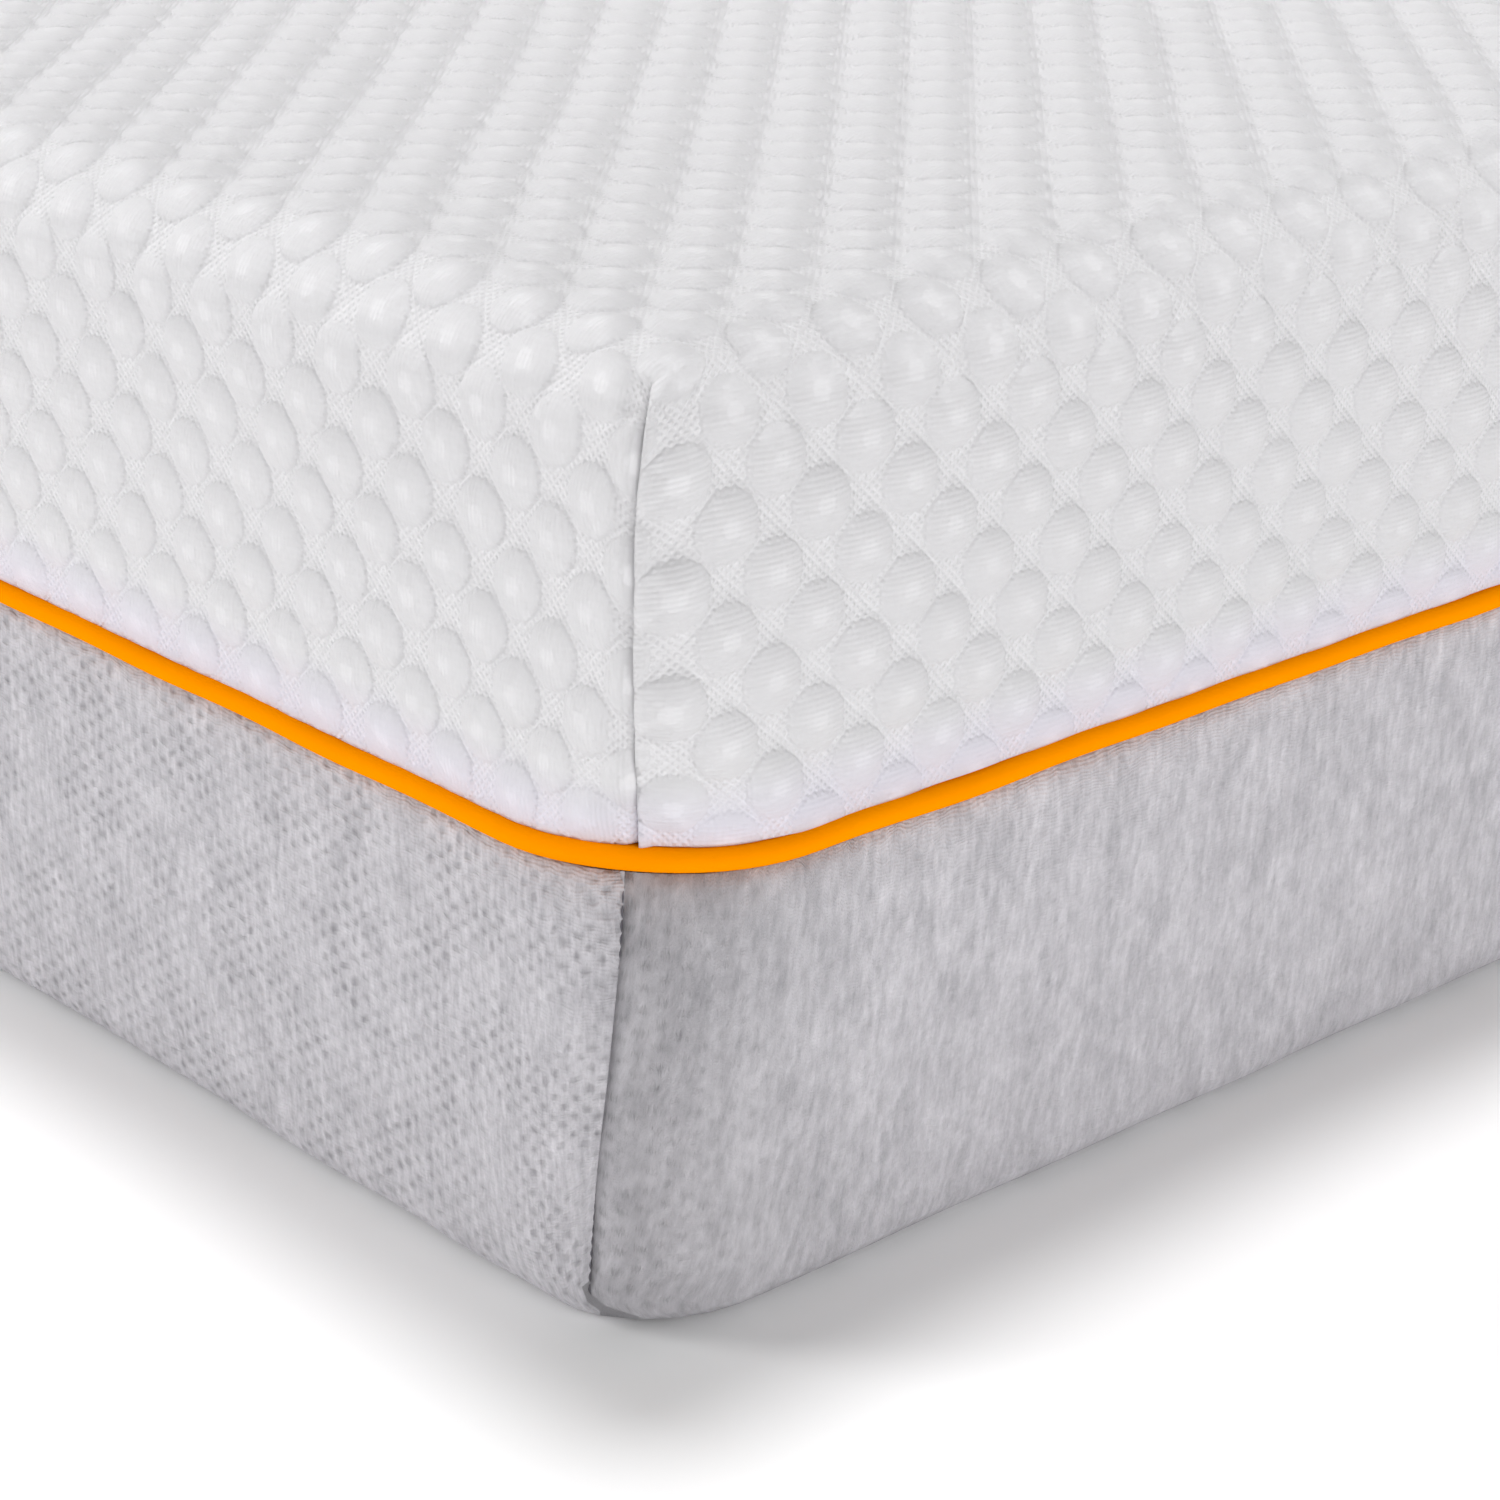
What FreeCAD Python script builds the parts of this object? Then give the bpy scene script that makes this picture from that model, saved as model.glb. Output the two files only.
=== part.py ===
import FreeCAD, Part
import math
import os
import Sketcher

# A single mattress: a three-layer foam core in an inner sock, inside a cover of two box-cut
# halves. The white top half and the grey base half meet at a zip hidden by orange piping.
# Frame: origin at the centre of the underside, +X across the width, +Y towards the head end,
# +Z up. All sizes are millimetres. "Face" is the outer face of the side walls; the piping
# stands a little proud of it and sets the overall width and length.

DIMENSIONS = [
    ("overall_width", 900.0, "across the piping"),
    ("overall_length", 1900.0, "across the piping"),
    ("thickness", 200.0, "underside to top face"),
    ("plan_radius", 42.0, "upright corners of the side walls"),
    ("top_edge_radius", 30.0, "rounding between top face and side walls"),
    ("bottom_edge_radius", 10.0, "rounding between underside and side walls"),
    ("cover_wall", 5.0, "knit with its thin wadding"),
    ("base_floor", 4.0, "underside fabric"),
    ("top_hem_level", 100.4, "lower edge of the top cover"),
    ("wall_rim_level", 87.5, "where the base cover thins to a single lip"),
    ("lip_level", 95.0, "upper edge of the base cover's lip"),
    ("lip_wall", 2.0, "single knit layer in front of the zip"),
    ("zip_window_half", 330.0, "half length of the lip's cut-out at the head end"),
    ("piping_radius", 2.4, "sleeve, outside"),
    ("piping_cord_radius", 1.6, "filler cord"),
    ("piping_level", 98.0, "height of the piping's centre line"),
    ("piping_proud", 2.2, "how far the piping stands out from the face"),
    ("flange_thick", 0.8, "sleeve's sewing flange"),
    ("tape_thick", 0.6, "zip tape"),
    ("tape_width", 13.6, "zip tape, from its outer edge to the coil's meeting side"),
    ("coil_depth", 2.0, "zip coil, through the wall"),
    ("coil_width", 1.6, "one zip coil, up the wall"),
    ("lower_coil_level", 89.6, "underside of the lower coil"),
    ("coil_gap", 1.2, "between the coils, where the slider's divider runs"),
    ("slider_length", 11.0, "along the zip"),
    ("slider_low", 88.0, "underside of the slider"),
    ("slider_high", 95.2, "top of the slider"),
    ("slider_plate", 1.0, "thickness of each slider plate"),
    ("slider_clear", 0.4, "slider plates to coil and tape"),
    ("divider_thick", 0.5, "slider's divider post"),
    ("slider_park", 322.0, "closed place of the slider, from the centre"),
    ("bail_length", 6.0, "bar that the pull tab hangs on"),
    ("bail_radius", 0.55, "bar that the pull tab hangs on"),
    ("bail_level", 92.4, "height of the bar"),
    ("bail_proud", 0.05, "bar's centre out from the face"),
    ("eye_inner", 0.9, "pull tab's eye, inside"),
    ("eye_outer", 1.25, "pull tab's eye, outside"),
    ("tab_width", 4.4, "pull tab"),
    ("tab_length", 26.0, "pull tab, below the bar"),
    ("tab_thick", 0.9, "pull tab"),
    ("stop_length", 3.0, "zip stop, along the zip"),
    ("stop_thick", 0.35, "zip stop's sheet"),
    ("sock_gap", 8.0, "from the face in to the sock"),
    ("sock_plan_radius", 48.0, "upright corners of the sock"),
    ("sock_thick", 0.8, "sock fabric"),
    ("sock_top_gap", 0.4, "between the sock and the top cover"),
    ("sock_top_edge", 26.0, "sock's upper edge rounding"),
    ("sock_bottom_edge", 12.0, "sock's lower edge rounding"),
    ("support_foam", 109.0, "thickness of the firm layer"),
    ("comfort_foam", 30.0, "thickness of the middle layer"),
    ("seam_thick", 1.6, "two turned-in fabric edges"),
    ("seam_depth", 6.5, "seam allowance at a corner"),
    ("seam_bite", 0.2, "how far the allowance enters the wall"),
    ("seam_margin", 1.0, "clear of tapes and floor"),
    ("top_seam_end", 168.0, "upper end of the top cover's corner seams"),
    ("base_seam_start", 14.0, "lower end of the base cover's corner seams"),
    ("label_width", 40.0, "care label"),
    ("label_low", 44.0, "lower edge of the care label"),
    ("label_high", 92.0, "upper edge of the care label"),
    ("label_thick", 0.8, "folded label"),
    ("label_start", 342.0, "from the centre to the label"),
]

FACE_X = "(Dims.overall_width / 2 - Dims.piping_proud)"
FACE_Y = "(Dims.overall_length / 2 - Dims.piping_proud)"
UPPER_COIL_LEVEL = "(Dims.lower_coil_level + Dims.coil_width + Dims.coil_gap)"
LOWER_TAPE_LEVEL = "(Dims.lower_coil_level + Dims.coil_width - Dims.tape_width)"
UPPER_TAPE_END = "(" + UPPER_COIL_LEVEL + " + Dims.tape_width)"
COIL_OUTSIDE = "(Dims.cover_wall - Dims.coil_depth)"
SOCK_TOP = "(Dims.thickness - Dims.cover_wall - Dims.sock_top_gap)"
FOAM_FLOOR = "(Dims.base_floor + Dims.sock_thick)"
FOAM_TOP = "(" + SOCK_TOP + " - Dims.sock_thick)"
QUARTER_TURN = math.pi / 2
LEVEL_TOLERANCE = 0.01
VOLUME_TOLERANCE = 5.0
CORNERS = {
    "foot_left": (-1, -1),
    "foot_right": (1, -1),
    "head_right": (1, 1),
    "head_left": (-1, 1),
}

doc = FreeCAD.newDocument("Mattress")
dims = doc.addObject("Spreadsheet::Sheet", "Dims")
nodes = []


def fill_sheet():
    """Write each driving dimension as a plain number with its alias and a note."""
    for row, (alias, value, note) in enumerate(DIMENSIONS, start=1):
        dims.set(f"A{row}", alias)
        dims.set(f"B{row}", str(value))
        dims.set(f"C{row}", note)
        dims.setAlias(f"B{row}", alias)
    doc.recompute()


def number(expression):
    """The present value of an expression over the sheet."""
    value = dims.evalExpression(expression)
    return float(getattr(value, "Value", value))


# ---------------------------------------------------------------- sketches and features


def new_body(label):
    """A named sub-part, placed at the frame's origin."""
    body = doc.addObject("PartDesign::Body", label)
    body.Label = label
    body.Placement = FreeCAD.Placement()
    nodes.append(body)
    return body


def plane(body, role):
    """One of the body's own origin planes."""
    return next(item for item in body.Origin.OriginFeatures if item.Role == role)


def new_sketch(body, name, role="XY_Plane", level="0"):
    """A sketch on an origin plane, lifted along the plane's normal by an expression."""
    sketch = body.newObject("Sketcher::SketchObject", body.Label + "_" + name)
    sketch.AttachmentSupport = (plane(body, role), [""])
    sketch.MapMode = "FlatFace"
    sketch.setExpression(".AttachmentOffset.Base.z", level)
    return sketch


def bind(sketch, constraint, name, expression):
    """Add a dimension to a sketch and bind it to an expression over the sheet."""
    index = sketch.addConstraint(constraint)
    sketch.renameConstraint(index, name)
    sketch.setExpression("Constraints." + name, expression)


def rounded_loop(sketch, name, half_x, half_y, radius):
    """A rectangle with round corners, centred on the origin, as lines and tangent arcs."""
    x, y, r = number(half_x), number(half_y), number(radius)
    point = FreeCAD.Vector
    corners = [(1, -1), (1, 1), (-1, 1), (-1, -1)]
    ends = [(-x + r, -y), (x - r, -y), (x, -y + r), (x, y - r),
            (x - r, y), (-x + r, y), (-x, y - r), (-x, -y + r)]
    lines = []
    arcs = []
    for side in range(4):
        start, stop = ends[2 * side], ends[2 * side + 1]
        lines.append(sketch.addGeometry(Part.LineSegment(point(*start, 0), point(*stop, 0))))
    for turn, (sx, sy) in enumerate(corners):
        centre = point(sx * (x - r), sy * (y - r), 0)
        circle = Part.Circle(centre, point(0, 0, 1), r)
        arcs.append(sketch.addGeometry(
            Part.ArcOfCircle(circle, (turn - 1) * QUARTER_TURN, turn * QUARTER_TURN)))
    for side in range(4):
        following = (side + 1) % 4
        sketch.addConstraint(Sketcher.Constraint("Tangent", lines[side], 2, arcs[side], 1))
        sketch.addConstraint(Sketcher.Constraint("Tangent", arcs[side], 2, lines[following], 1))
    for side in (0, 2):
        sketch.addConstraint(Sketcher.Constraint("Horizontal", lines[side]))
        sketch.addConstraint(Sketcher.Constraint("Vertical", lines[side + 1]))
    for side in (1, 2):
        sketch.addConstraint(Sketcher.Constraint("Equal", arcs[0], arcs[side]))
    sketch.addConstraint(Sketcher.Constraint("Symmetric", arcs[0], 3, arcs[2], 3, -1, 1))
    bind(sketch, Sketcher.Constraint("Radius", arcs[0], r), name + "Radius", radius)
    bind(sketch, Sketcher.Constraint("DistanceX", -1, 1, lines[1], 1, x), name + "HalfX", half_x)
    bind(sketch, Sketcher.Constraint("DistanceY", -1, 1, lines[2], 1, y), name + "HalfY", half_y)


def inset_loop(sketch, name, inset):
    """A round-cornered loop that follows the side walls, moved in by an expression."""
    rounded_loop(sketch, name, f"{FACE_X} - {inset}", f"{FACE_Y} - {inset}",
                 f"Dims.plan_radius - {inset}")


def box_loop(sketch, name, low_a, high_a, low_b, high_b):
    """A plain rectangle between four expressions, along the sketch's two axes."""
    a0, a1, b0, b1 = number(low_a), number(high_a), number(low_b), number(high_b)
    point = FreeCAD.Vector
    corners = [point(a0, b0, 0), point(a1, b0, 0), point(a1, b1, 0), point(a0, b1, 0)]
    sides = [sketch.addGeometry(Part.LineSegment(corners[i], corners[(i + 1) % 4]))
             for i in range(4)]
    for i in range(4):
        sketch.addConstraint(Sketcher.Constraint("Coincident", sides[i], 2, sides[(i + 1) % 4], 1))
    for i in (0, 2):
        sketch.addConstraint(Sketcher.Constraint("Horizontal", sides[i]))
        sketch.addConstraint(Sketcher.Constraint("Vertical", sides[i + 1]))
    bind(sketch, Sketcher.Constraint("DistanceX", -1, 1, sides[0], 1, a0), name + "LowA", low_a)
    bind(sketch, Sketcher.Constraint("DistanceX", -1, 1, sides[0], 2, a1), name + "HighA", high_a)
    bind(sketch, Sketcher.Constraint("DistanceY", -1, 1, sides[0], 1, b0), name + "LowB", low_b)
    bind(sketch, Sketcher.Constraint("DistanceY", -1, 1, sides[2], 1, b1), name + "HighB", high_b)


def ring_circle(sketch, name, centre_a, centre_b, radius):
    """A circle whose centre and radius are expressions."""
    a, b, r = number(centre_a), number(centre_b), number(radius)
    centre = FreeCAD.Vector(a, b, 0)
    circle = sketch.addGeometry(Part.Circle(centre, FreeCAD.Vector(0, 0, 1), r))
    bind(sketch, Sketcher.Constraint("Radius", circle, r), name + "Radius", radius)
    bind(sketch, Sketcher.Constraint("DistanceX", -1, 1, circle, 3, a), name + "CentreA", centre_a)
    bind(sketch, Sketcher.Constraint("DistanceY", -1, 1, circle, 3, b), name + "CentreB", centre_b)


def pad(body, sketch, length, symmetric=False):
    """Pad a sketch by an expression, along its normal or both ways."""
    feature = body.newObject("PartDesign::Pad", sketch.Label + "_pad")
    feature.Profile = sketch
    feature.Midplane = symmetric
    feature.setExpression("Length", length)
    doc.recompute()
    return feature


def pocket(body, sketch, depth):
    """Cut a sketch into the body, up from its plane, and make sure that it cuts."""
    before = body.Shape.Volume
    feature = body.newObject("PartDesign::Pocket", sketch.Label + "_pocket")
    feature.Profile = sketch
    feature.Reversed = True
    feature.setExpression("Length", depth)
    doc.recompute()
    if body.Shape.Volume >= before:
        raise RuntimeError(sketch.Label + " cuts nothing")
    return feature


def level_edges(shape, level):
    """Names of the edges that lie in one level plane."""
    found = []
    for index, edge in enumerate(shape.Edges, start=1):
        farthest = max(abs(edge.BoundBox.ZMin - level), abs(edge.BoundBox.ZMax - level))
        if farthest < LEVEL_TOLERANCE:
            found.append(f"Edge{index}")
    return found


def fillet(body, name, level, radius):
    """Round the level loop of edges at the given height."""
    edges = level_edges(body.Shape, number(level))
    base = body.Tip
    feature = body.newObject("PartDesign::Fillet", body.Label + "_" + name)
    feature.Base = (base, edges)
    feature.setExpression("Radius", radius)
    doc.recompute()
    return feature


def ring(label, level, height, outer_inset, inner_inset):
    """A level band that follows the side walls between two insets from the face."""
    body = new_body(label)
    sketch = new_sketch(body, "band", level=level)
    inset_loop(sketch, "Outer", outer_inset)
    inset_loop(sketch, "Inner", inner_inset)
    pad(body, sketch, height)
    return body


# ---------------------------------------------------------------- foam core and sock


def foam_layer(label, level, height):
    """A foam slab that fills the sock's plan."""
    body = new_body(label)
    sketch = new_sketch(body, "slab", level=level)
    inset = "(Dims.sock_gap + Dims.sock_thick)"
    rounded_loop(sketch, "Slab", f"{FACE_X} - {inset}", f"{FACE_Y} - {inset}",
                 "Dims.sock_plan_radius - Dims.sock_thick")
    pad(body, sketch, height)
    return body


def foam_core():
    """Firm slab below, softer slab in the middle and memory foam on top, glued face to face."""
    support = foam_layer("support_foam", FOAM_FLOOR, "Dims.support_foam")
    fillet(support, "low_edge", FOAM_FLOOR, "Dims.sock_bottom_edge - Dims.sock_thick")
    comfort_level = f"({FOAM_FLOOR} + Dims.support_foam)"
    foam_layer("comfort_foam", comfort_level, "Dims.comfort_foam")
    memory_level = f"({comfort_level} + Dims.comfort_foam)"
    memory = foam_layer("memory_foam", memory_level, f"{FOAM_TOP} - {memory_level}")
    fillet(memory, "high_edge", FOAM_TOP, "Dims.sock_top_edge - Dims.sock_thick")


def sock_block(body, name, shrink):
    """The sock's outline as a rounded block, made smaller all round by an expression."""
    sketch = new_sketch(body, name, level=f"Dims.base_floor + {shrink}")
    rounded_loop(sketch, "Sock", f"{FACE_X} - Dims.sock_gap - {shrink}",
                 f"{FACE_Y} - Dims.sock_gap - {shrink}", f"Dims.sock_plan_radius - {shrink}")
    pad(body, sketch, f"{SOCK_TOP} - Dims.base_floor - 2 * {shrink}")
    fillet(body, name + "_low", f"Dims.base_floor + {shrink}",
           f"Dims.sock_bottom_edge - {shrink}")
    fillet(body, name + "_high", f"{SOCK_TOP} - {shrink}",
           f"Dims.sock_top_edge - {shrink}")


def inner_sock():
    """A closed thin shell round the foam core: the outer block less the core's own block."""
    outer = doc.addObject("PartDesign::Body", "sock_outside")
    sock_block(outer, "outside", "0")
    inner = doc.addObject("PartDesign::Body", "sock_inside")
    sock_block(inner, "inside", "Dims.sock_thick")
    sock = doc.addObject("Part::Cut", "inner_sock")
    sock.Label = "inner_sock"
    sock.Base = outer
    sock.Tool = inner
    nodes.append(sock)


# ---------------------------------------------------------------- covers


def top_cover():
    """White cover half: a cap with a rounded upper edge, open below."""
    body = new_body("top_cover_panel")
    outside = new_sketch(body, "outside", level="Dims.top_hem_level")
    inset_loop(outside, "Outer", "0")
    pad(body, outside, "Dims.thickness - Dims.top_hem_level")
    inside = new_sketch(body, "inside", level="Dims.top_hem_level")
    inset_loop(inside, "Inner", "Dims.cover_wall")
    pocket(body, inside, "Dims.thickness - Dims.cover_wall - Dims.top_hem_level")
    fillet(body, "inner_edge", "Dims.thickness - Dims.cover_wall",
           "Dims.top_edge_radius - Dims.cover_wall")
    fillet(body, "outer_edge", "Dims.thickness", "Dims.top_edge_radius")


def base_cover():
    """Grey cover half: a tray whose rim thins to a lip in front of the zip. At the head end
    the lip is cut away so that the slider can be reached."""
    body = new_body("base_cover_panel")
    outside = new_sketch(body, "outside")
    inset_loop(outside, "Outer", "0")
    pad(body, outside, "Dims.lip_level")
    inside = new_sketch(body, "inside", level="Dims.base_floor")
    inset_loop(inside, "Inner", "Dims.cover_wall")
    pocket(body, inside, "Dims.lip_level - Dims.base_floor")
    fillet(body, "inner_edge", "Dims.base_floor",
           "Dims.bottom_edge_radius - Dims.cover_wall")
    fillet(body, "outer_edge", "0", "Dims.bottom_edge_radius")
    lip = new_sketch(body, "lip", level="Dims.wall_rim_level")
    inset_loop(lip, "Lip", "Dims.lip_wall")
    pocket(body, lip, "Dims.lip_level - Dims.wall_rim_level")
    window = new_sketch(body, "window", level="Dims.wall_rim_level")
    box_loop(window, "Window", "-Dims.zip_window_half", "Dims.zip_window_half",
             f"{FACE_Y} - 2 * Dims.cover_wall", f"{FACE_Y} + Dims.cover_wall")
    pocket(body, window, "Dims.lip_level - Dims.wall_rim_level")


def corner_seam(label, corner, low, high):
    """Seam allowance of one upright corner: a strip on the corner's diagonal, turned inwards."""
    side_x, side_y = CORNERS[corner]
    body = new_body(f"{label}_{corner}")
    sketch = new_sketch(body, "strip", level=low)
    centre_x = f"{side_x} * ({FACE_X} - Dims.plan_radius)"
    centre_y = f"{side_y} * ({FACE_Y} - Dims.plan_radius)"
    sketch.setExpression(".AttachmentOffset.Base.x", centre_x)
    sketch.setExpression(".AttachmentOffset.Base.y", centre_y)
    diagonal = {(1, 1): 45, (-1, 1): 135, (-1, -1): 225, (1, -1): 315}[(side_x, side_y)]
    sketch.setExpression(".AttachmentOffset.Rotation.Angle", str(diagonal))
    box_loop(sketch, "Strip",
             "Dims.plan_radius - Dims.cover_wall - Dims.seam_depth",
             "Dims.plan_radius - Dims.cover_wall + Dims.seam_bite",
             "-Dims.seam_thick / 2", "Dims.seam_thick / 2")
    pad(body, sketch, f"{high} - {low}")


def corner_seams():
    """Four upright seams in each cover half."""
    for corner in CORNERS:
        corner_seam("top_corner_seam", corner, f"({UPPER_TAPE_END} + Dims.seam_margin)",
                    "Dims.top_seam_end")
        corner_seam("base_corner_seam", corner, "Dims.base_seam_start",
                    f"({LOWER_TAPE_LEVEL} - Dims.seam_margin)")


def care_label():
    """Blank folded label sewn to the base cover at the head end, beside the zip window."""
    body = new_body("care_label")
    sketch = new_sketch(body, "outline", level="Dims.label_low")
    box_loop(sketch, "Label", "Dims.label_start", "Dims.label_start + Dims.label_width",
             FACE_Y, f"{FACE_Y} + Dims.label_thick")
    pad(body, sketch, "Dims.label_high - Dims.label_low")


# ---------------------------------------------------------------- piping


def piping_path(body):
    """The piping's centre line: a round-cornered loop close to the face."""
    sketch = new_sketch(body, "path", level="Dims.piping_level")
    inset_loop(sketch, "Path", "(Dims.piping_radius - Dims.piping_proud)")
    return sketch


def sweep(body, kind, path, name, radius):
    """Carry a circle of the given radius once round the piping's closed path."""
    section = new_sketch(body, name, role="YZ_Plane")
    centre = f"{FACE_Y} - (Dims.piping_radius - Dims.piping_proud)"
    ring_circle(section, "Ring", centre, "Dims.piping_level", radius)
    feature = body.newObject("PartDesign::" + kind, section.Label + "_sweep")
    feature.Profile = section
    feature.Spine = (path, [f"Edge{index}" for index in range(1, path.GeometryCount + 1)])
    doc.recompute()


def piping():
    """Fabric sleeve with its sewing flange, and the filler cord that it holds."""
    sleeve = new_body("piping_sleeve")
    path = piping_path(sleeve)
    sweep(sleeve, "AdditivePipe", path, "outside", "Dims.piping_radius")
    flange = new_sketch(sleeve, "flange", level="Dims.top_hem_level - Dims.flange_thick")
    inset_loop(flange, "Outer", "Dims.piping_radius / 2")
    inset_loop(flange, "Inner", "Dims.cover_wall")
    pad(sleeve, flange, "Dims.flange_thick")
    solid_volume = sleeve.Shape.Volume
    sweep(sleeve, "SubtractivePipe", path, "inside", "Dims.piping_cord_radius")
    cord = new_body("piping_cord")
    sweep(cord, "AdditivePipe", piping_path(cord), "section", "Dims.piping_cord_radius")
    hollow = solid_volume - sleeve.Shape.Volume
    if abs(hollow - cord.Shape.Volume) > VOLUME_TOLERANCE:
        raise RuntimeError("the piping sleeve's hollow doesn't match its cord")


# ---------------------------------------------------------------- zip


def zip_chain():
    """Two tapes behind the cover walls, each with a coil along its meeting edge."""
    tape_inside = "(Dims.cover_wall + Dims.tape_thick)"
    ring("lower_zip_tape", LOWER_TAPE_LEVEL, "Dims.tape_width", "Dims.cover_wall", tape_inside)
    ring("upper_zip_tape", UPPER_COIL_LEVEL, "Dims.tape_width", "Dims.cover_wall", tape_inside)
    ring("lower_zip_coil", "Dims.lower_coil_level", "Dims.coil_width", COIL_OUTSIDE,
         "Dims.cover_wall")
    ring("upper_zip_coil", UPPER_COIL_LEVEL, "Dims.coil_width", COIL_OUTSIDE, "Dims.cover_wall")


def zip_stop(label, level):
    """A small sheet clip on the front of a coil, past the slider's closed place."""
    body = new_body(label)
    sketch = new_sketch(body, "clip", level=level)
    start = "(Dims.slider_park + Dims.slider_length / 2 + Dims.slider_clear)"
    outside = f"{FACE_Y} - {COIL_OUTSIDE}"
    box_loop(sketch, "Clip", start, f"{start} + Dims.stop_length",
             outside, f"{outside} + Dims.stop_thick")
    pad(body, sketch, "Dims.coil_width")


def slider_box(body, name, low_y, high_y, low_z, high_z):
    """One block of the slider, its full length along the zip."""
    sketch = new_sketch(body, name, level=low_z)
    half = "Dims.slider_length / 2"
    box_loop(sketch, "Block", f"Dims.slider_park - {half}", f"Dims.slider_park + {half}",
             low_y, high_y)
    pad(body, sketch, f"{high_z} - {low_z}")


def slider_body():
    """Slider: a plate in front of the coils, a plate behind the tapes, a thin divider between
    the coils that joins them, and a bail bar on two feet."""
    body = new_body("zip_slider")
    front_in = f"({FACE_Y} - {COIL_OUTSIDE} + Dims.slider_clear)"
    front_out = f"({front_in} + Dims.slider_plate)"
    back_out = f"({FACE_Y} - Dims.cover_wall - Dims.tape_thick - Dims.slider_clear)"
    back_in = f"({back_out} - Dims.slider_plate)"
    slider_box(body, "front", front_in, front_out, "Dims.slider_low", "Dims.slider_high")
    middle = f"({UPPER_COIL_LEVEL} - Dims.coil_gap / 2)"
    slider_box(body, "divider", back_in, front_out, f"({middle} - Dims.divider_thick / 2)",
               f"({middle} + Dims.divider_thick / 2)")
    slider_box(body, "back", back_in, back_out, "Dims.slider_low", "Dims.slider_high")
    bar = new_sketch(body, "bar", role="YZ_Plane", level="Dims.slider_park")
    bar_y = f"{FACE_Y} + Dims.bail_proud"
    ring_circle(bar, "Bar", bar_y, "Dims.bail_level", "Dims.bail_radius")
    pad(body, bar, "Dims.bail_length", symmetric=True)
    for name, side in (("left", -1), ("right", 1)):
        foot = new_sketch(body, "foot_" + name, level="Dims.bail_level - Dims.bail_radius")
        inner = f"Dims.slider_park + {side} * Dims.bail_length / 2"
        outer = f"{inner} + {side} * 2 * Dims.bail_radius"
        ends = (inner, outer) if side > 0 else (outer, inner)
        box_loop(foot, "Foot", *ends, front_in, f"{bar_y} + Dims.bail_radius")
        pad(body, foot, "2 * Dims.bail_radius")


def pull_tab():
    """Pull tab: an eye round the bail bar with a flat tab that hangs clear of the face."""
    body = new_body("zip_pull_tab")
    eye = new_sketch(body, "eye", role="YZ_Plane", level="Dims.slider_park")
    eye_y = f"{FACE_Y} + Dims.bail_proud"
    ring_circle(eye, "Outside", eye_y, "Dims.bail_level", "Dims.eye_outer")
    pad(body, eye, "Dims.tab_width", symmetric=True)
    tab = new_sketch(body, "tab", role="YZ_Plane", level="Dims.slider_park")
    tab_out = f"{eye_y} + Dims.eye_outer"
    box_loop(tab, "Tab", f"{tab_out} - Dims.tab_thick", tab_out,
             "Dims.bail_level - Dims.tab_length", "Dims.bail_level")
    pad(body, tab, "Dims.tab_width", symmetric=True)
    bore = new_sketch(body, "bore", role="YZ_Plane", level="Dims.slider_park - Dims.tab_width")
    ring_circle(bore, "Bore", eye_y, "Dims.bail_level", "Dims.eye_inner")
    pocket(body, bore, "2 * Dims.tab_width")


# ---------------------------------------------------------------- build, test and write


def check_model():
    """Stop on any failed object, and on any sub-part that isn't a sound solid."""
    doc.recompute()
    for item in doc.Objects:
        if "Invalid" in item.State or "Error" in item.State:
            raise RuntimeError(item.Label + " is " + ", ".join(item.State))
    for node in nodes:
        shape = node.Shape
        if shape.isNull() or not shape.isValid() or not shape.Solids:
            raise RuntimeError(node.Label + " has no sound solid")


def write_parts():
    """One file for each sub-part."""
    os.makedirs("parts", exist_ok=True)
    for node in nodes:
        node.Shape.exportStep(f"parts/{node.Label}.step")
        box = node.Shape.BoundBox
        print(f"{node.Label}: {node.Shape.Volume / 1000:.1f} cm3, "
              f"z {box.ZMin:.2f} to {box.ZMax:.2f}, solids {len(node.Shape.Solids)}")


fill_sheet()
foam_core()
inner_sock()
base_cover()
top_cover()
corner_seams()
care_label()
piping()
zip_chain()
zip_stop("lower_zip_stop", "Dims.lower_coil_level")
zip_stop("upper_zip_stop", UPPER_COIL_LEVEL)
slider_body()
pull_tab()
check_model()
write_parts()
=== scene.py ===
import math

import bmesh
import bpy
import numpy as np
from mathutils import Matrix, Vector, geometry


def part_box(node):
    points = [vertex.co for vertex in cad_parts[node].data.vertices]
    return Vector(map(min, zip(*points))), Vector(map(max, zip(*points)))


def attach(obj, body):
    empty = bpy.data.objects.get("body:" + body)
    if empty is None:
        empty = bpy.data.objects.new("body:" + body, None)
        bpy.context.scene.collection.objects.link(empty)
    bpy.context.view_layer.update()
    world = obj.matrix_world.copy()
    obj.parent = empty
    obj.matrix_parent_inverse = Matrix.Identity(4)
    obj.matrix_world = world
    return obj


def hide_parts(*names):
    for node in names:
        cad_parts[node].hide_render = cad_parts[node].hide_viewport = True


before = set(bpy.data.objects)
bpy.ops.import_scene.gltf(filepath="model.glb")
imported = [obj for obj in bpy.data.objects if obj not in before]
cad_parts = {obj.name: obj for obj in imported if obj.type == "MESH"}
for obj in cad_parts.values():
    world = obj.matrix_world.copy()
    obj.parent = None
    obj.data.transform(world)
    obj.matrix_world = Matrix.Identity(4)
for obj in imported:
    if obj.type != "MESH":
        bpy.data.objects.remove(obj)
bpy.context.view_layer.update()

MM = 0.001
rng = np.random.default_rng(7)


# ---------- sizes read from the frame

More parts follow.
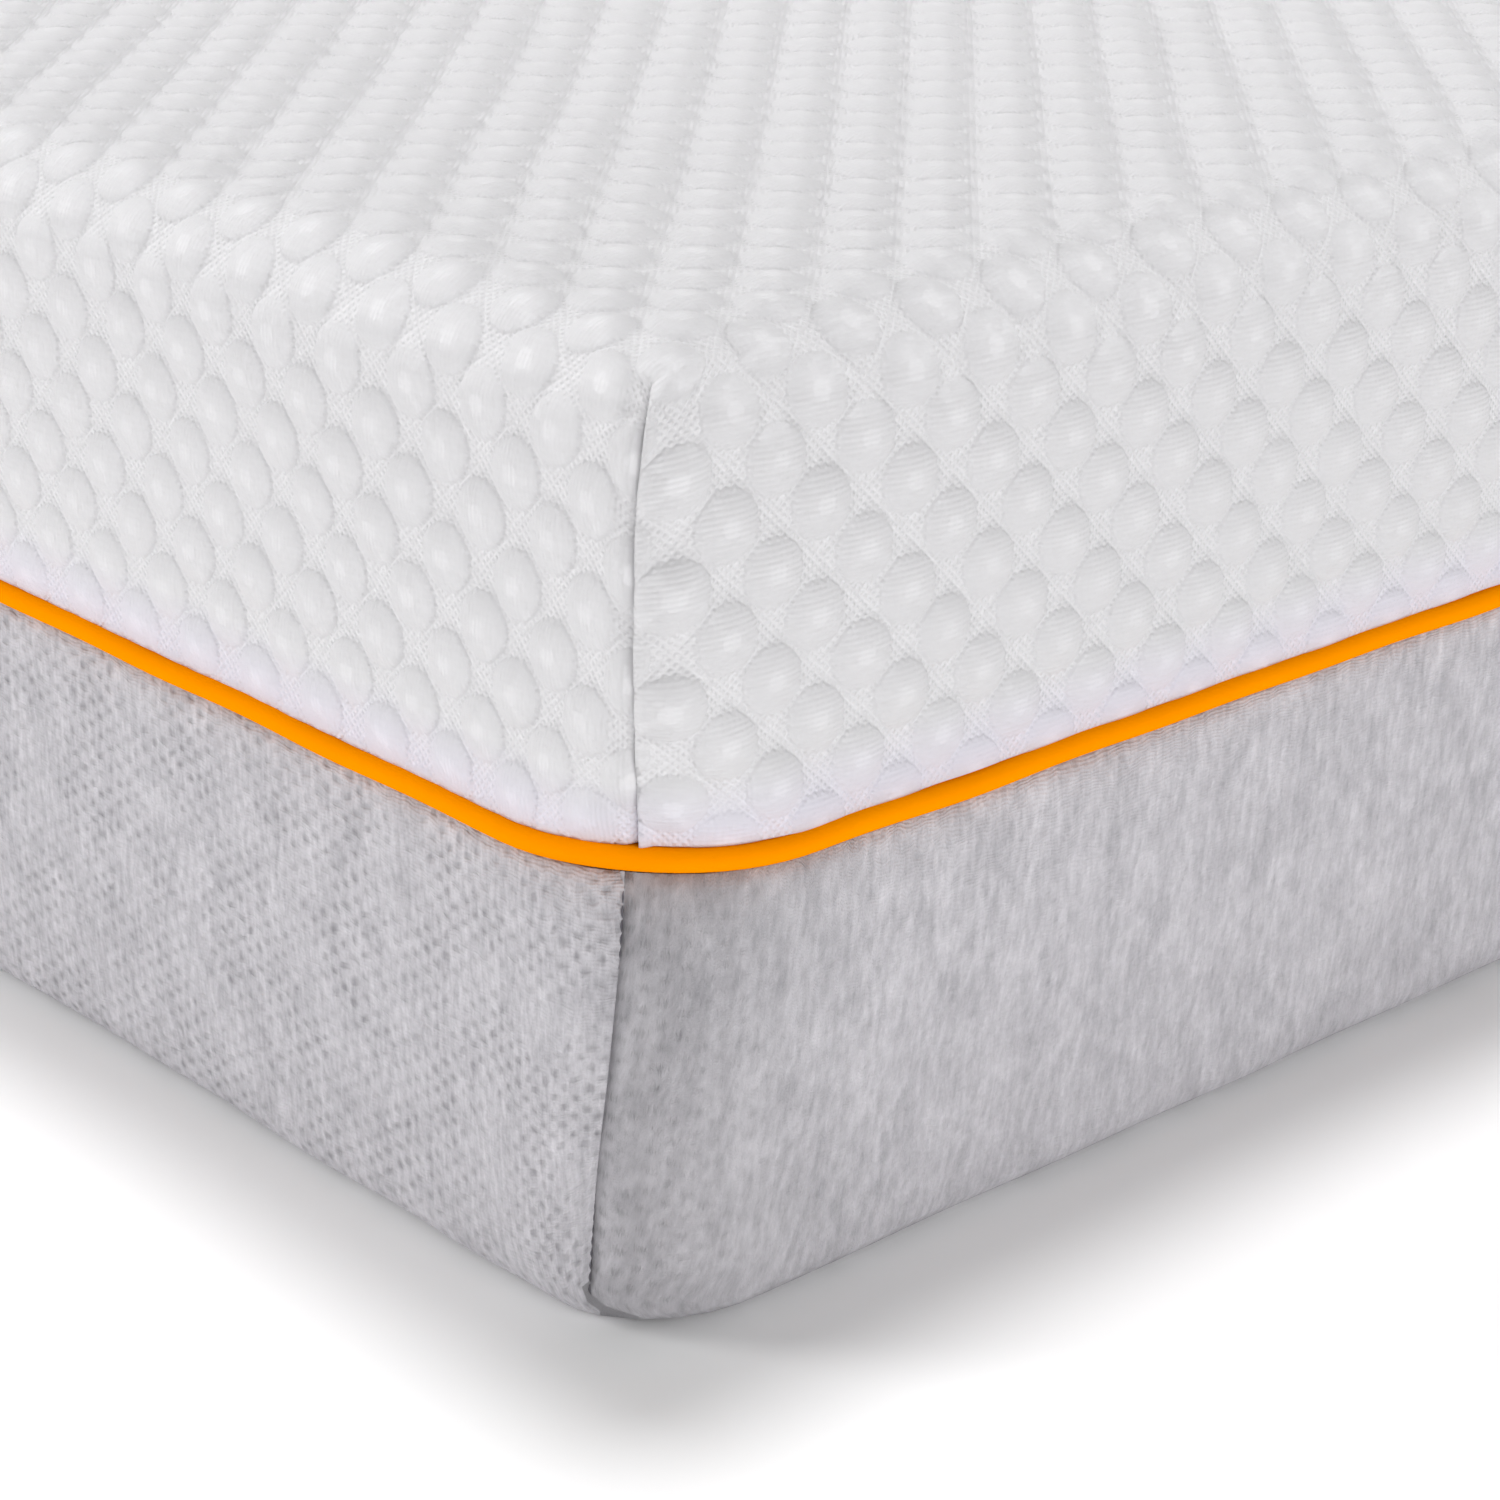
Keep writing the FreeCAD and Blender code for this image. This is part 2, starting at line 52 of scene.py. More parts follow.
top_low, top_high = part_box("top_cover_panel")
base_low, base_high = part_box("base_cover_panel")
pipe_low, pipe_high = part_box("piping_sleeve")
FACE_X = top_high[0]
FACE_Y = top_high[1]
TOP = top_high[2]
HEM = top_low[2]
RIM = base_high[2]
PIPE_RADIUS = (pipe_high[2] - pipe_low[2]) / 2
PIPE_LEVEL = pipe_low[2] + PIPE_RADIUS
PIPE_PROUD = pipe_high[0] - FACE_X

PLAN_RADIUS = 42 * MM
WALL = 5 * MM               # cloth and its backing
LIP_WALL = 2 * MM           # the base cover's thinner upper lip
WALL_RIM = 87.5 * MM        # the level where that lip starts
WINDOW_HALF = 330 * MM      # half the zip opening's width


# ---------- small helpers


def smooth(low, high, x):
    """0 below low, 1 above high, with a soft S between."""
    t = np.clip((x - low) / (high - low), 0, 1)
    return t * t * (3 - 2 * t)


def waves(x, y, length, seed):
    """Smooth wandering field between about -1 and 1: a few sines of mixed direction."""
    mix = np.random.default_rng(seed)
    total = np.zeros_like(x)
    for _ in range(7):
        angle = mix.uniform(0, 2 * math.pi)
        size = length * mix.uniform(0.7, 1.5)
        phase = mix.uniform(0, 2 * math.pi)
        total += np.sin((x * math.cos(angle) + y * math.sin(angle)) * 2 * math.pi / size + phase)
    return total / 3.5


def link(obj):
    bpy.context.scene.collection.objects.link(obj)
    return obj


def mesh_object(name, verts, faces, material):
    """A smooth mesh from an array of points and arrays of faces of equal side count."""
    mesh = bpy.data.meshes.new(name)
    groups = [np.asarray(f, dtype=np.int32) for f in faces if len(f)]
    loops = np.concatenate([g.ravel() for g in groups])
    totals = np.concatenate([np.full(len(g), g.shape[1], dtype=np.int32) for g in groups])
    mesh.vertices.add(len(verts))
    mesh.vertices.foreach_set("co", np.asarray(verts, dtype=np.float32).ravel())
    mesh.loops.add(len(loops))
    mesh.loops.foreach_set("vertex_index", loops)
    mesh.polygons.add(len(totals))
    starts = np.concatenate([[0], np.cumsum(totals)[:-1]]).astype(np.int32)
    mesh.polygons.foreach_set("loop_start", starts)
    mesh.polygons.foreach_set("loop_total", totals)
    mesh.update(calc_edges=True)
    mesh.validate()
    mesh.polygons.foreach_set("use_smooth", np.ones(len(mesh.polygons), dtype=bool))
    mesh.materials.append(material)
    return link(bpy.data.objects.new(name, mesh))


def outward_mesh(name, verts, faces, material):
    """A closed mesh whose faces all look outwards."""
    made = mesh_object(name, verts, faces, material)
    work = bmesh.new()
    work.from_mesh(made.data)
    bmesh.ops.recalc_face_normals(work, faces=work.faces[:])
    work.to_mesh(made.data)
    work.free()
    return made


def read(items, key, kind=np.int32, width=1):
    """One property of all of a mesh's points, edges, corners or faces, as a flat array."""
    values = np.empty(len(items) * width, dtype=kind)
    items.foreach_get(key, values)
    return values


def read_faces(mesh):
    """Face groups of a mesh by side count."""
    totals = read(mesh.polygons, "loop_total")
    starts = read(mesh.polygons, "loop_start")
    points = read(mesh.loops, "vertex_index")
    return [points[starts[totals == sides][:, None] + np.arange(sides)]
            for sides in np.unique(totals)]


def band_faces(first, second):
    """Quads between closed rows of point numbers and the rows that follow them."""
    quads = np.stack([first, second, np.roll(second, -1, 1), np.roll(first, -1, 1)], -1)
    return quads.reshape(-1, 4)


def grid_faces(index):
    """Quads between the neighbours in a grid of point numbers."""
    return np.stack([index[:-1, :-1], index[1:, :-1], index[1:, 1:], index[:-1, 1:]], -1)


def two_sided(name, outer, inner, cells, material):
    """A closed sheet: its outer side, its inner side and a strip round their rim."""
    pairs = np.concatenate([cells[:, [k, (k + 1) % 4]] for k in range(4)])
    _, first, times = np.unique(np.sort(pairs, 1), axis=0, return_index=True,
                                return_counts=True)
    rim = pairs[first[times == 1]]
    count = len(outer)
    strip = np.column_stack([rim, rim[:, ::-1] + count])
    return outward_mesh(name, np.concatenate([outer, inner]),
                        [cells, cells[:, ::-1] + count, strip], material)


def add_cloth_coordinates(obj, flat):
    """Keep each point's place in the flat cloth, in metres, and one more value, for the knit."""
    layer = obj.data.attributes.new("cloth", "FLOAT_VECTOR", "POINT")
    layer.data.foreach_set("vector", np.asarray(flat, dtype=np.float32).ravel())


# ---------- how flat cloth wraps the box


class Wrap:
    """Lays box-cut cloth over one half of the mattress. Flat cloth is a cross: a middle
    rectangle and four flaps. Its corners are cut out and the cut edges sewn together."""

    CORNER = 64 * MM          # from the faces in to the lines where the corners start
    ROUNDER = 0.6             # how fast the plan corner opens up from the wall to the flat
    FLARE_SPAN = 38 * MM      # the last part of the wall, where the corner widens to the hem

    def __init__(self, level, side, edge, corner_edge, wall_radius, reach, notch, seam_turn,
                 lean=None):
        self.level, self.side, self.reach = level, side, reach
        self.edge, self.corner_edge, self.wall_radius = edge, corner_edge, wall_radius
        self.notch, self.seam_turn, self.lean = notch, seam_turn, lean
        self.centre_x, self.centre_y = FACE_X - self.CORNER, FACE_Y - self.CORNER
        self.turn_start = self.CORNER - edge
        self.wall_start = self.turn_start + edge * math.pi / 2
        self.flap_end = self.wall_start + reach - edge
        self.corner_extra = (2 - math.pi / 2) * (edge - corner_edge)
        self.arm_x, self.arm_y = self.centre_x + notch, self.centre_y + notch
        self.end_x, self.end_y = self.centre_x + self.flap_end, self.centre_y + self.flap_end

    def past_centre(self, u, v):
        """How far points of flat cloth lie past the lines where the corners start."""
        return np.abs(u) - self.centre_x, np.abs(v) - self.centre_y

    def flat_contour(self, p, q):
        """In the uncut corner of the cloth: which rounded square a point lies on, and how far
        it is along that from the side (0) to the diagonal (1)."""
        low = np.maximum(p, q)
        high = low * math.sqrt(2) + 1e-9
        for _ in range(22):
            s = (low + high) / 2
            radius = self.cloth_radius(s)
            centre = s - radius
            inside = np.hypot(np.maximum(p - centre, 0), np.maximum(q - centre, 0)) - radius
            low = np.where(inside > 0, s, low)
            high = np.where(inside > 0, high, s)
        radius = self.cloth_radius(s)
        centre = s - radius
        beside, ahead = np.minimum(p, q), np.maximum(p, q)
        angle = np.arctan2(np.maximum(beside - centre, 0), np.maximum(ahead - centre, 1e-9))
        along = np.where(beside <= centre, beside, centre + radius * angle)
        return s, along / np.maximum(centre + radius * math.pi / 4, 1e-9)

    def cloth_radius(self, s):
        opened = self.wall_radius + self.ROUNDER * np.maximum(self.CORNER - s, 0)
        return np.minimum(opened, s)

    def profile(self, s, share):
        """Out from the corner's start line and down from the level, at length s down a flap."""
        edge = self.edge + (self.corner_edge - self.edge) * share**2
        extra = self.corner_extra * share**2 * smooth(self.notch, self.flap_end, s)
        s = s + extra
        flat = self.CORNER - edge
        phi = np.clip((s - flat) / edge, 0, math.pi / 2)
        out = np.where(s < flat, s, flat + edge * np.sin(phi))
        drop = edge * (1 - np.cos(phi)) + np.maximum(s - flat - edge * math.pi / 2, 0)
        return out, drop

    def position(self, u, v):
        """Where each point of flat cloth lies in space, with its length down the flap."""
        p, q = self.past_centre(u, v)
        over_x = p > q
        down = np.maximum(p, q)
        beside = np.minimum(p, q)
        corner = beside > 0
        s = np.maximum(down, 0)
        share = np.zeros_like(s)
        pc, qc = p[corner], q[corner]
        n = self.notch
        s0, share0 = self.flat_contour(np.minimum(pc, n), np.minimum(qc, n))
        past = np.maximum(np.maximum(pc, qc) - n, 0)
        lower = (s0 - np.minimum(np.maximum(pc, qc), n)) * (1 - smooth(0, self.flap_end - n, past))
        s[corner] = np.maximum(pc, qc) + lower
        even = np.minimum(np.minimum(pc, qc) / n, 1)
        mix = smooth(0, 15 * MM, past)
        share[corner] = share0 * (1 - mix) + even * mix
        out, drop = self.profile(s, share)
        inset = self.CORNER - out
        flare = np.clip((drop - (self.reach - self.FLARE_SPAN)) / self.FLARE_SPAN, 0, 1) ** 1.5
        radius = self.wall_radius + self.ROUNDER * np.maximum(inset, 0)
        radius = np.where(s < self.turn_start, self.cloth_radius(s), radius)
        radius = radius + (PLAN_RADIUS - self.wall_radius) * flare
        radius = np.clip(radius, 1e-9, np.maximum(out, 1e-9))
        half_length = out - radius + radius * math.pi / 4
        run = np.where(corner, share * half_length, beside)
        run = np.where(corner, run + self.turned(u, v, over_x, half_length - run, s), run)
        bend = np.clip((run - (out - radius)) / radius, 0, math.pi / 2)
        side = np.where(bend > 0, out - radius + radius * np.sin(bend), run)
        ahead = np.where(bend > 0, out - radius + radius * np.cos(bend), out)
        local_x = np.where(over_x, ahead, side)
        local_y = np.where(over_x, side, ahead)
        flat = down <= 0
        x = np.where(flat, u, np.sign(u) * (self.centre_x + local_x))
        y = np.where(flat, v, np.sign(v) * (self.centre_y + local_y))
        z = self.level - self.side * drop
        if self.lean:
            low = smooth(self.reach, 0, drop)
            x = x - self.lean[0] * low * smooth(FACE_X - 40 * MM, FACE_X, x)
            y = y - self.lean[1] * low * smooth(FACE_Y - 40 * MM, FACE_Y, -y)
        return np.stack([x, y, z], -1), s

    def turned(self, u, v, over_x, gap, s):
        """The seams sit a little clockwise of the corners: the shift along the cloth."""
        towards_y = u * v < 0
        sign = np.where(towards_y == over_x, 1.0, -1.0)
        near = np.clip(1 - gap / (1.1 * self.CORNER), 0, 1) ** 2
        first, last, ramp = self.seam_turn
        turn = first + (last - first) * smooth(self.notch, self.flap_end, s)
        return sign * turn * near * smooth(self.notch - 5 * MM, self.notch - 5 * MM + ramp, s)

    def place(self, u, v):
        """Points and outward normals in space, the length down the flap, and the distance in
        the cloth from the corner seam."""
        u, v = np.asarray(u, float), np.asarray(v, float)
        here, s = self.position(u, v)
        step = 0.4 * MM
        beside_u, _ = self.position(u - step * np.sign(u), v)
        beside_v, _ = self.position(u, v - step * np.sign(v))
        normal = np.cross(here - beside_u, here - beside_v)
        normal *= (np.sign(u) * np.sign(v) * self.side)[:, None]
        normal /= np.maximum(np.linalg.norm(normal, axis=1), 1e-12)[:, None]
        p, q = self.past_centre(u, v)
        n = self.notch
        seam = np.where(np.maximum(p, q) > n, np.abs(n - np.minimum(p, q)),
                        np.hypot(n - p, n - q))
        return here, normal, s, seam


# ---------- materials


class Look:
    """A principled material, with short ways to build its texture."""

    def __init__(self, name, colour, roughness):
        self.material = bpy.data.materials.new(name)
        self.material.use_nodes = True
        self.material.diffuse_color = (*colour, 1)
        self.tree = self.material.node_tree
        self.shader = self.tree.nodes["Principled BSDF"]
        self.set(**{"Base Color": (*colour, 1), "Roughness": roughness})

    def feed(self, made, inputs):
        """Give a node's inputs their values, or the sockets that drive them."""
        for key, value in inputs.items():
            if hasattr(value, "is_output"):
                self.tree.links.new(value, made.inputs[key])
            else:
                made.inputs[key].default_value = value

    def set(self, **inputs):
        self.feed(self.shader, inputs)

    def node(self, kind, inputs, output=0, **settings):
        """Add a texture node and return the output that the next node reads."""
        made = self.tree.nodes.new("ShaderNode" + kind)
        for key, value in settings.items():
            setattr(made, key, value)
        self.feed(made, inputs)
        return made.outputs[output]

    def maths(self, operation, *values):
        return self.node("Math", dict(enumerate(values)), operation=operation)

    def split(self, vector):
        return [self.node("SeparateXYZ", {0: vector}, part) for part in range(3)]

    def cloth_place(self):
        return self.node("Attribute", {}, "Vector", attribute_name="cloth")

    def object_place(self):
        return self.node("TexCoord", {}, "Object")

    def noise(self, place, scale, detail, output="Fac", roughness=0.5):
        return self.node("TexNoise", {"Vector": place, "Scale": scale, "Detail": detail,
                                      "Roughness": roughness}, output)

    def stretched(self, place, across, down):
        return self.node("Mapping", {"Vector": place, "Scale": (across, down, 1.0)})

    def span(self, value, low, high, to_low=0.0, to_high=1.0):
        """Carry the stretch from low to high onto another one, and stop at its ends."""
        return self.node("MapRange", {"Value": value, "From Min": low, "From Max": high,
                                      "To Min": to_low, "To Max": to_high})

    def blend(self, share, first, second, blend_type="MIX"):
        """A colour between two colours."""
        return self.node("Mix", {0: share, 6: first, 7: second}, 2, data_type="RGBA",
                         blend_type=blend_type)

    def mottle_and_painted_shade(self, share, colour, darkest):
        """Colour the surface between a darkened colour and the full one: a random mottle on cloth,
        painted shade in foam pores.
        """
        dark = tuple(darkest * c for c in colour)
        self.set(**{"Base Color": self.blend(share, (*dark, 1), (*colour, 1))})

    def ripple(self, value, pitch, phase=0.0):
        """A cosine of the given pitch along a coordinate, from 0 to 1."""
        turned = self.maths("MULTIPLY_ADD", value, 2 * math.pi / pitch, phase)
        return self.maths("MULTIPLY_ADD", self.maths("COSINE", turned), 0.5, 0.5)

    def bump(self, height, distance, strength):
        self.set(Normal=self.node("Bump", {"Height": height, "Distance": distance,
                                           "Strength": strength}))


def white_knit():
    """Bubble knit: fine upright ribs on the bubbles, a coarse crossed weave in the gaps."""
    look = Look("white_bubble_knit", (0.80, 0.79, 0.81), 0.85)
    place = look.cloth_place()
    u, v, relief = look.split(place)
    knit = look.maths("MULTIPLY_ADD", look.ripple(v, 1.4 * MM), 0.45, look.ripple(u, 1.1 * MM))
    plus = look.ripple(look.maths("ADD", u, v), 1.9 * MM)
    minus = look.ripple(look.maths("SUBTRACT", u, v), 1.9 * MM)
    crossed = look.maths("MULTIPLY", look.maths("MULTIPLY", plus, minus), 3.2)
    on_bubble = look.span(relief, 0.1, 0.45)
    threads = look.node("Mix", {0: on_bubble, 2: crossed, 3: knit})
    height = look.maths("MULTIPLY_ADD", look.noise(place, 900.0, 3.0), 1.1, threads)
    look.bump(height, 0.15 * MM, 0.75)
    shade = look.blend(look.noise(place, 14.0, 2.0), (0.775, 0.766, 0.782, 1),
                       (0.805, 0.798, 0.812, 1))
    level = look.split(look.object_place())[2]
    near_hem = look.span(level, HEM + 3 * MM, HEM + 16 * MM, 0.7, 0.0)
    lilac = (0.80, 0.765, 0.88, 1)
    look.set(**{"Base Color": look.blend(near_hem, shade, lilac), "Sheen Weight": 0.15,
                "Sheen Roughness": 0.6, "Specular IOR Level": 0.15})
    return look.material


PIT_PITCH = (6.8 * MM, 4.6 * MM)     # across and down; every other pit is staggered


def knit_pits(look, across, down, place, pitted):
    """Two staggered sets of spots, patchy, and fainter where the pitted value is low."""
    pits = []
    for phase in (0.0, math.pi):
        spot = look.maths("MULTIPLY", look.ripple(across, PIT_PITCH[0], phase),
                          look.ripple(down, PIT_PITCH[1], phase))
        pits.append(look.maths("POWER", spot, 3.2))
    patchy = look.span(look.noise(place, 55.0, 2.0), 0.34, 0.62, 0.2, 0.9)
    pit = look.maths("MULTIPLY", look.maths("ADD", *pits), patchy)
    return look.maths("MULTIPLY", pit, pitted)


def grey_knit():
    """Melange knit: staggered pits, darkened with painted shade, and upright streaks of darker yarn,
    both a little patchy.
    """
    look = Look("grey_melange_knit", (0.5, 0.48, 0.51), 0.9)
    place = look.cloth_place()
    pitted = look.split(place)[2]
    wander = look.noise(place, 170.0, 1.0, "Color")
    shift = look.node("VectorMath", {0: wander, 1: (3 * MM, 3 * MM, 3 * MM)},
                      operation="MULTIPLY")
    across, down, _ = look.split(look.node("VectorMath", {0: place, 1: shift}, operation="ADD"))
    pit = knit_pits(look, across, down, place, pitted)
    fuzz = look.noise(place, 1100.0, 3.0)
    slant = look.node("VectorRotate", {"Vector": place, "Angle": 0.12}, rotation_type="Z_AXIS")
    streaks = look.noise(look.stretched(slant, 560.0, 150.0), 1.0, 5.0, roughness=0.62)
    clouds = look.noise(look.stretched(slant, 120.0, 55.0), 1.0, 3.0)
    yarn = look.maths("MULTIPLY_ADD", fuzz, 0.3, look.maths("MULTIPLY_ADD", clouds, 0.5, streaks))
    height = look.maths("MULTIPLY_ADD", look.ripple(down, 0.8 * MM), 0.12,
                        look.maths("MULTIPLY", fuzz, 0.5))
    height = look.maths("MULTIPLY_ADD", streaks, 0.7, height)
    look.bump(look.maths("MULTIPLY_ADD", pit, -1.0, height), 0.7 * MM, 0.8)
    shade = look.blend(look.span(yarn, 0.62, 1.2), (0.375, 0.365, 0.39, 1),
                       (0.65, 0.632, 0.665, 1))
    # painted shade: the base colour is darkened in the knit's dimples
    pit_painted_shade = look.maths("MULTIPLY_ADD", pit, -0.36, 1.0)
    look.set(**{"Base Color": look.blend(1.0, shade, pit_painted_shade, "MULTIPLY"),
                "Sheen Weight": 0.12, "Specular IOR Level": 0.1})
    return look.material


def piping_cloth():
    """Smooth satin bias tape."""
    look = Look("orange_piping", (0.95, 0.31, 0.0), 0.55)
    place = look.object_place()
    look.bump(look.noise(place, 2500.0, 2.0), 0.05 * MM, 0.5)
    shade = look.blend(look.noise(place, 35.0, 2.0), (0.98, 0.275, 0.0, 1), (1.0, 0.305, 0.0, 1))
    look.set(**{"Base Color": shade, "Specular IOR Level": 0.0})
    return look.material


def plain_cloth(name, colour, pitch, depth):
    """A small woven cloth for tapes, labels, cords and linings."""
    look = Look(name, colour, 0.85)
    place = look.object_place()
    x, y, z = look.split(place)
    along = look.ripple(look.maths("ADD", x, y), pitch)
    look.bump(look.maths("MULTIPLY", along, look.ripple(z, pitch)), depth, 0.8)
    look.mottle_and_painted_shade(look.noise(place, 120.0, 3.0), colour, 0.86)
    return look.material


def foam(name, colour, cell):
    """Open-cell foam: pitted surface, with painted shade darkening the pores."""
    look = Look(name, colour, 0.95)
    cells = look.node("TexVoronoi", {"Vector": look.object_place(), "Scale": 1 / cell})
    look.bump(cells, cell * 0.5, 0.8)
    # painted shade: the colour darkens towards each cell's middle, in the pores
    look.mottle_and_painted_shade(cells, colour, 0.7)
    look.set(**{"Subsurface Weight": 0.1})
    return look.material


def hard(name, colour, roughness, metallic, grain, smoothest, depth):
    """Metal or nylon, with a fine grain that breaks up its shine."""
    look = Look(name, colour, roughness)
    speckle = look.noise(look.object_place(), *grain)
    look.set(Metallic=metallic, Roughness=look.span(speckle, 0.0, 1.0, smoothest, 0.5))
    look.bump(speckle, depth, 0.5)
    return look.material


def metal(name, colour):
    return hard(name, colour, 0.35, 1.0, (3000.0, 4.0), 0.25, 0.02 * MM)


def nylon(name, colour):
    return hard(name, colour, 0.4, 0.0, (1500.0, 2.0), 0.32, 0.03 * MM)


# ---------- white bubble-knit cover

PITCH = 21.3 * MM
HALF = PITCH / 2
BUBBLE_RADIUS = 7.3 * MM
BUBBLE_HEIGHT = 1.7 * MM
GAP_LEVEL = -0.6 * MM
SADDLE = 0.12               # how high two touching bubbles join, of a bubble's height
TILE_FILL = 0.97            # how much of its tile a bubble's foot may fill
WHITE = Wrap(TOP, 1, edge=18 * MM, corner_edge=14 * MM, wall_radius=12 * MM, reach=TOP - HEM,
             notch=60.5 * MM, seam_turn=(2.6 * MM, 3.4 * MM, 35 * MM))
GREY = Wrap(base_low[2], -1, edge=6 * MM, corner_edge=6 * MM, wall_radius=26 * MM,
            reach=RIM - base_low[2], notch=61 * MM, seam_turn=(12 * MM, 6.5 * MM, 14 * MM),
            lean=(1.4 * MM, 1.6 * MM))
# the foot right seam cuts a column of half bubbles on one side and clears them on the other
ORIGIN = (WHITE.arm_x - 0.9 * MM, -WHITE.arm_y + 6 * MM)
STEPS = 4                   # points to a side of a tile
FINE_RINGS = (0.28, 0.52, 0.71, 0.84, 0.93, 0.98, 1.0)
PLAIN_RINGS = (0.45, 0.78, 0.95, 1.0)
FINE_REACH = 0.62           # bubbles within this of the shown corner get more rings
SNAP = 0.03 * MM            # points this near a cut line are moved onto it


def diamond_ring():
    """A tile's outline, counted in steps of its half diagonal divided by STEPS."""
    corners = np.array([(1, 0), (0, 1), (-1, 0), (0, -1)])
    return np.array([corners[side] * (STEPS - step) + corners[(side + 1) % 4] * step
                     for side in range(4) for step in range(STEPS)])


def tile_centres(wrap):
    """Lattice places of every bubble whose tile touches the cross of flat cloth."""
    i = np.arange(int(-2 * wrap.end_x / HALF), int(wrap.end_x / HALF))
    j = np.arange(int(-wrap.end_y / HALF), int(2 * wrap.end_y / HALF))
    gi, gj = np.meshgrid(i, j, indexing="ij")
    keep = (gi + gj) % 2 == 0
    gi, gj = gi[keep], gj[keep]
    x, y = ORIGIN[0] + gi * HALF, ORIGIN[1] + gj * HALF
    ax, ay = np.abs(x) - HALF, np.abs(y) - HALF
    keep = (ax < wrap.end_x) & (ay < wrap.end_y) & ~((ax > wrap.arm_x) & (ay > wrap.arm_y))
    return gi[keep], gj[keep]


def bubble_sheet(wrap):
    """Flat points (u, v, relief) and faces of the whole cloth, one diamond tile to a bubble."""
    gi, gj = tile_centres(wrap)
    count = len(gi)
    x, y = ORIGIN[0] + gi * HALF, ORIGIN[1] + gj * HALF
    jitter = rng.normal(0, 0.22 * MM, (count, 2))
    tall = rng.uniform(0.9, 1.08, count)
    wide = rng.uniform(0.965, 1.0, count)
    ring = diamond_ring()
    sides = len(ring)
    keys = (np.stack([gi, gj], -1)[:, None] * STEPS + ring).reshape(-1, 2)
    shared, where = np.unique(keys, axis=0, return_inverse=True)
    where = where.reshape(count, sides)
    shared_xy = np.array(ORIGIN) + shared * (HALF / STEPS)
    # the deepest places of a gap are the tiles' corners, the highest where two bubbles touch
    corner_like = (shared % STEPS == 0).all(1)
    touching = (shared % STEPS == STEPS // 2).all(1)
    relief = np.where(corner_like, -0.1, np.where(touching, SADDLE, 0.03))
    points = [np.column_stack([shared_xy, relief])]
    quads, tris = [], []
    fine = (x > FACE_X - FINE_REACH) & (y < -FACE_Y + FINE_REACH)
    angle = np.arctan2(ring[:, 1], ring[:, 0])
    uniform = np.arange(sides) * 2 * math.pi / sides
    angle = np.unwrap(np.where(angle < -1e-9, angle + 2 * math.pi, angle)) * 0.4 + uniform * 0.6
    floor = SADDLE * np.sin(2 * angle) ** 8
    base = len(shared_xy)
    for chosen, rings in ((fine, FINE_RINGS), (~fine, PLAIN_RINGS)):
        pick = np.flatnonzero(chosen)
        n = len(pick)
        top = tall[pick][:, None]
        tile_x, tile_y = x[pick][:, None], y[pick][:, None]
        cx, cy = tile_x + jitter[pick, :1], tile_y + jitter[pick, 1:]
        radius = BUBBLE_RADIUS * wide[pick][:, None]
        points.append(np.column_stack([cx, cy, top]))
        # a bubble's foot stays inside its own tile
        foot_x = cx + radius * np.cos(angle) - tile_x
        foot_y = cy + radius * np.sin(angle) - tile_y
        within = np.minimum(1, TILE_FILL * HALF / (np.abs(foot_x) + np.abs(foot_y)))
        foot_x = tile_x + foot_x * within - cx
        foot_y = tile_y + foot_y * within - cy
        centre = base + np.arange(n)
        base += n
        previous = None
        for rho in rings:
            px, py = cx + rho * foot_x, cy + rho * foot_y
            dome = (1 - rho**2.2) ** 0.72
            height = floor + dome * (top - floor)
            points.append(np.column_stack([px.ravel(), py.ravel(), height.ravel()]))
            current = base + np.arange(n * sides).reshape(n, sides)
            base += n * sides
            if previous is None:
                fan = np.stack([np.repeat(centre[:, None], sides, 1), current,
                                np.roll(current, -1, 1)], -1)
                tris.append(fan.reshape(-1, 3))
            else:
                quads.append(band_faces(previous, current))
            previous = current
        quads.append(band_faces(previous, where[pick]))
    return np.concatenate(points), np.concatenate(quads), np.concatenate(tris)


def cut_to_cross(obj, wrap):
    """Trim flat cloth to its cross: hems straight, corner notches out."""
    work = bmesh.new()
    work.from_mesh(obj.data)
    for axis, distance in ((0, wrap.arm_x), (1, wrap.arm_y), (0, wrap.end_x), (1, wrap.end_y)):
        for sign in (-1, 1):
            normal = Vector((0, 0, 0))
            normal[axis] = sign
            touched = [f for f in work.faces
                       if abs(abs(f.verts[0].co[axis]) - distance) < HALF]
            geom = list({v for f in touched for v in f.verts})
            geom += list({e for f in touched for e in f.edges}) + touched
            bmesh.ops.bisect_plane(work, geom=geom, dist=SNAP, plane_co=normal * distance,
                                   plane_no=normal)
            for vert in work.verts:
                if abs(vert.co[axis] * sign - distance) < SNAP * 1.5:
                    vert.co[axis] = sign * distance
    bmesh.ops.remove_doubles(work, verts=work.verts[:], dist=SNAP / 4)
    tiny = 1e-6
    doomed = []
    for face in work.faces:
        middle = face.calc_center_median()
        ax, ay = abs(middle.x), abs(middle.y)
        outside = ax > wrap.end_x - tiny or ay > wrap.end_y - tiny
        if outside or (ax > wrap.arm_x - tiny and ay > wrap.arm_y - tiny):
            doomed.append(face)
    bmesh.ops.delete(work, geom=doomed, context="FACES")
    work.to_mesh(obj.data)
    work.free()


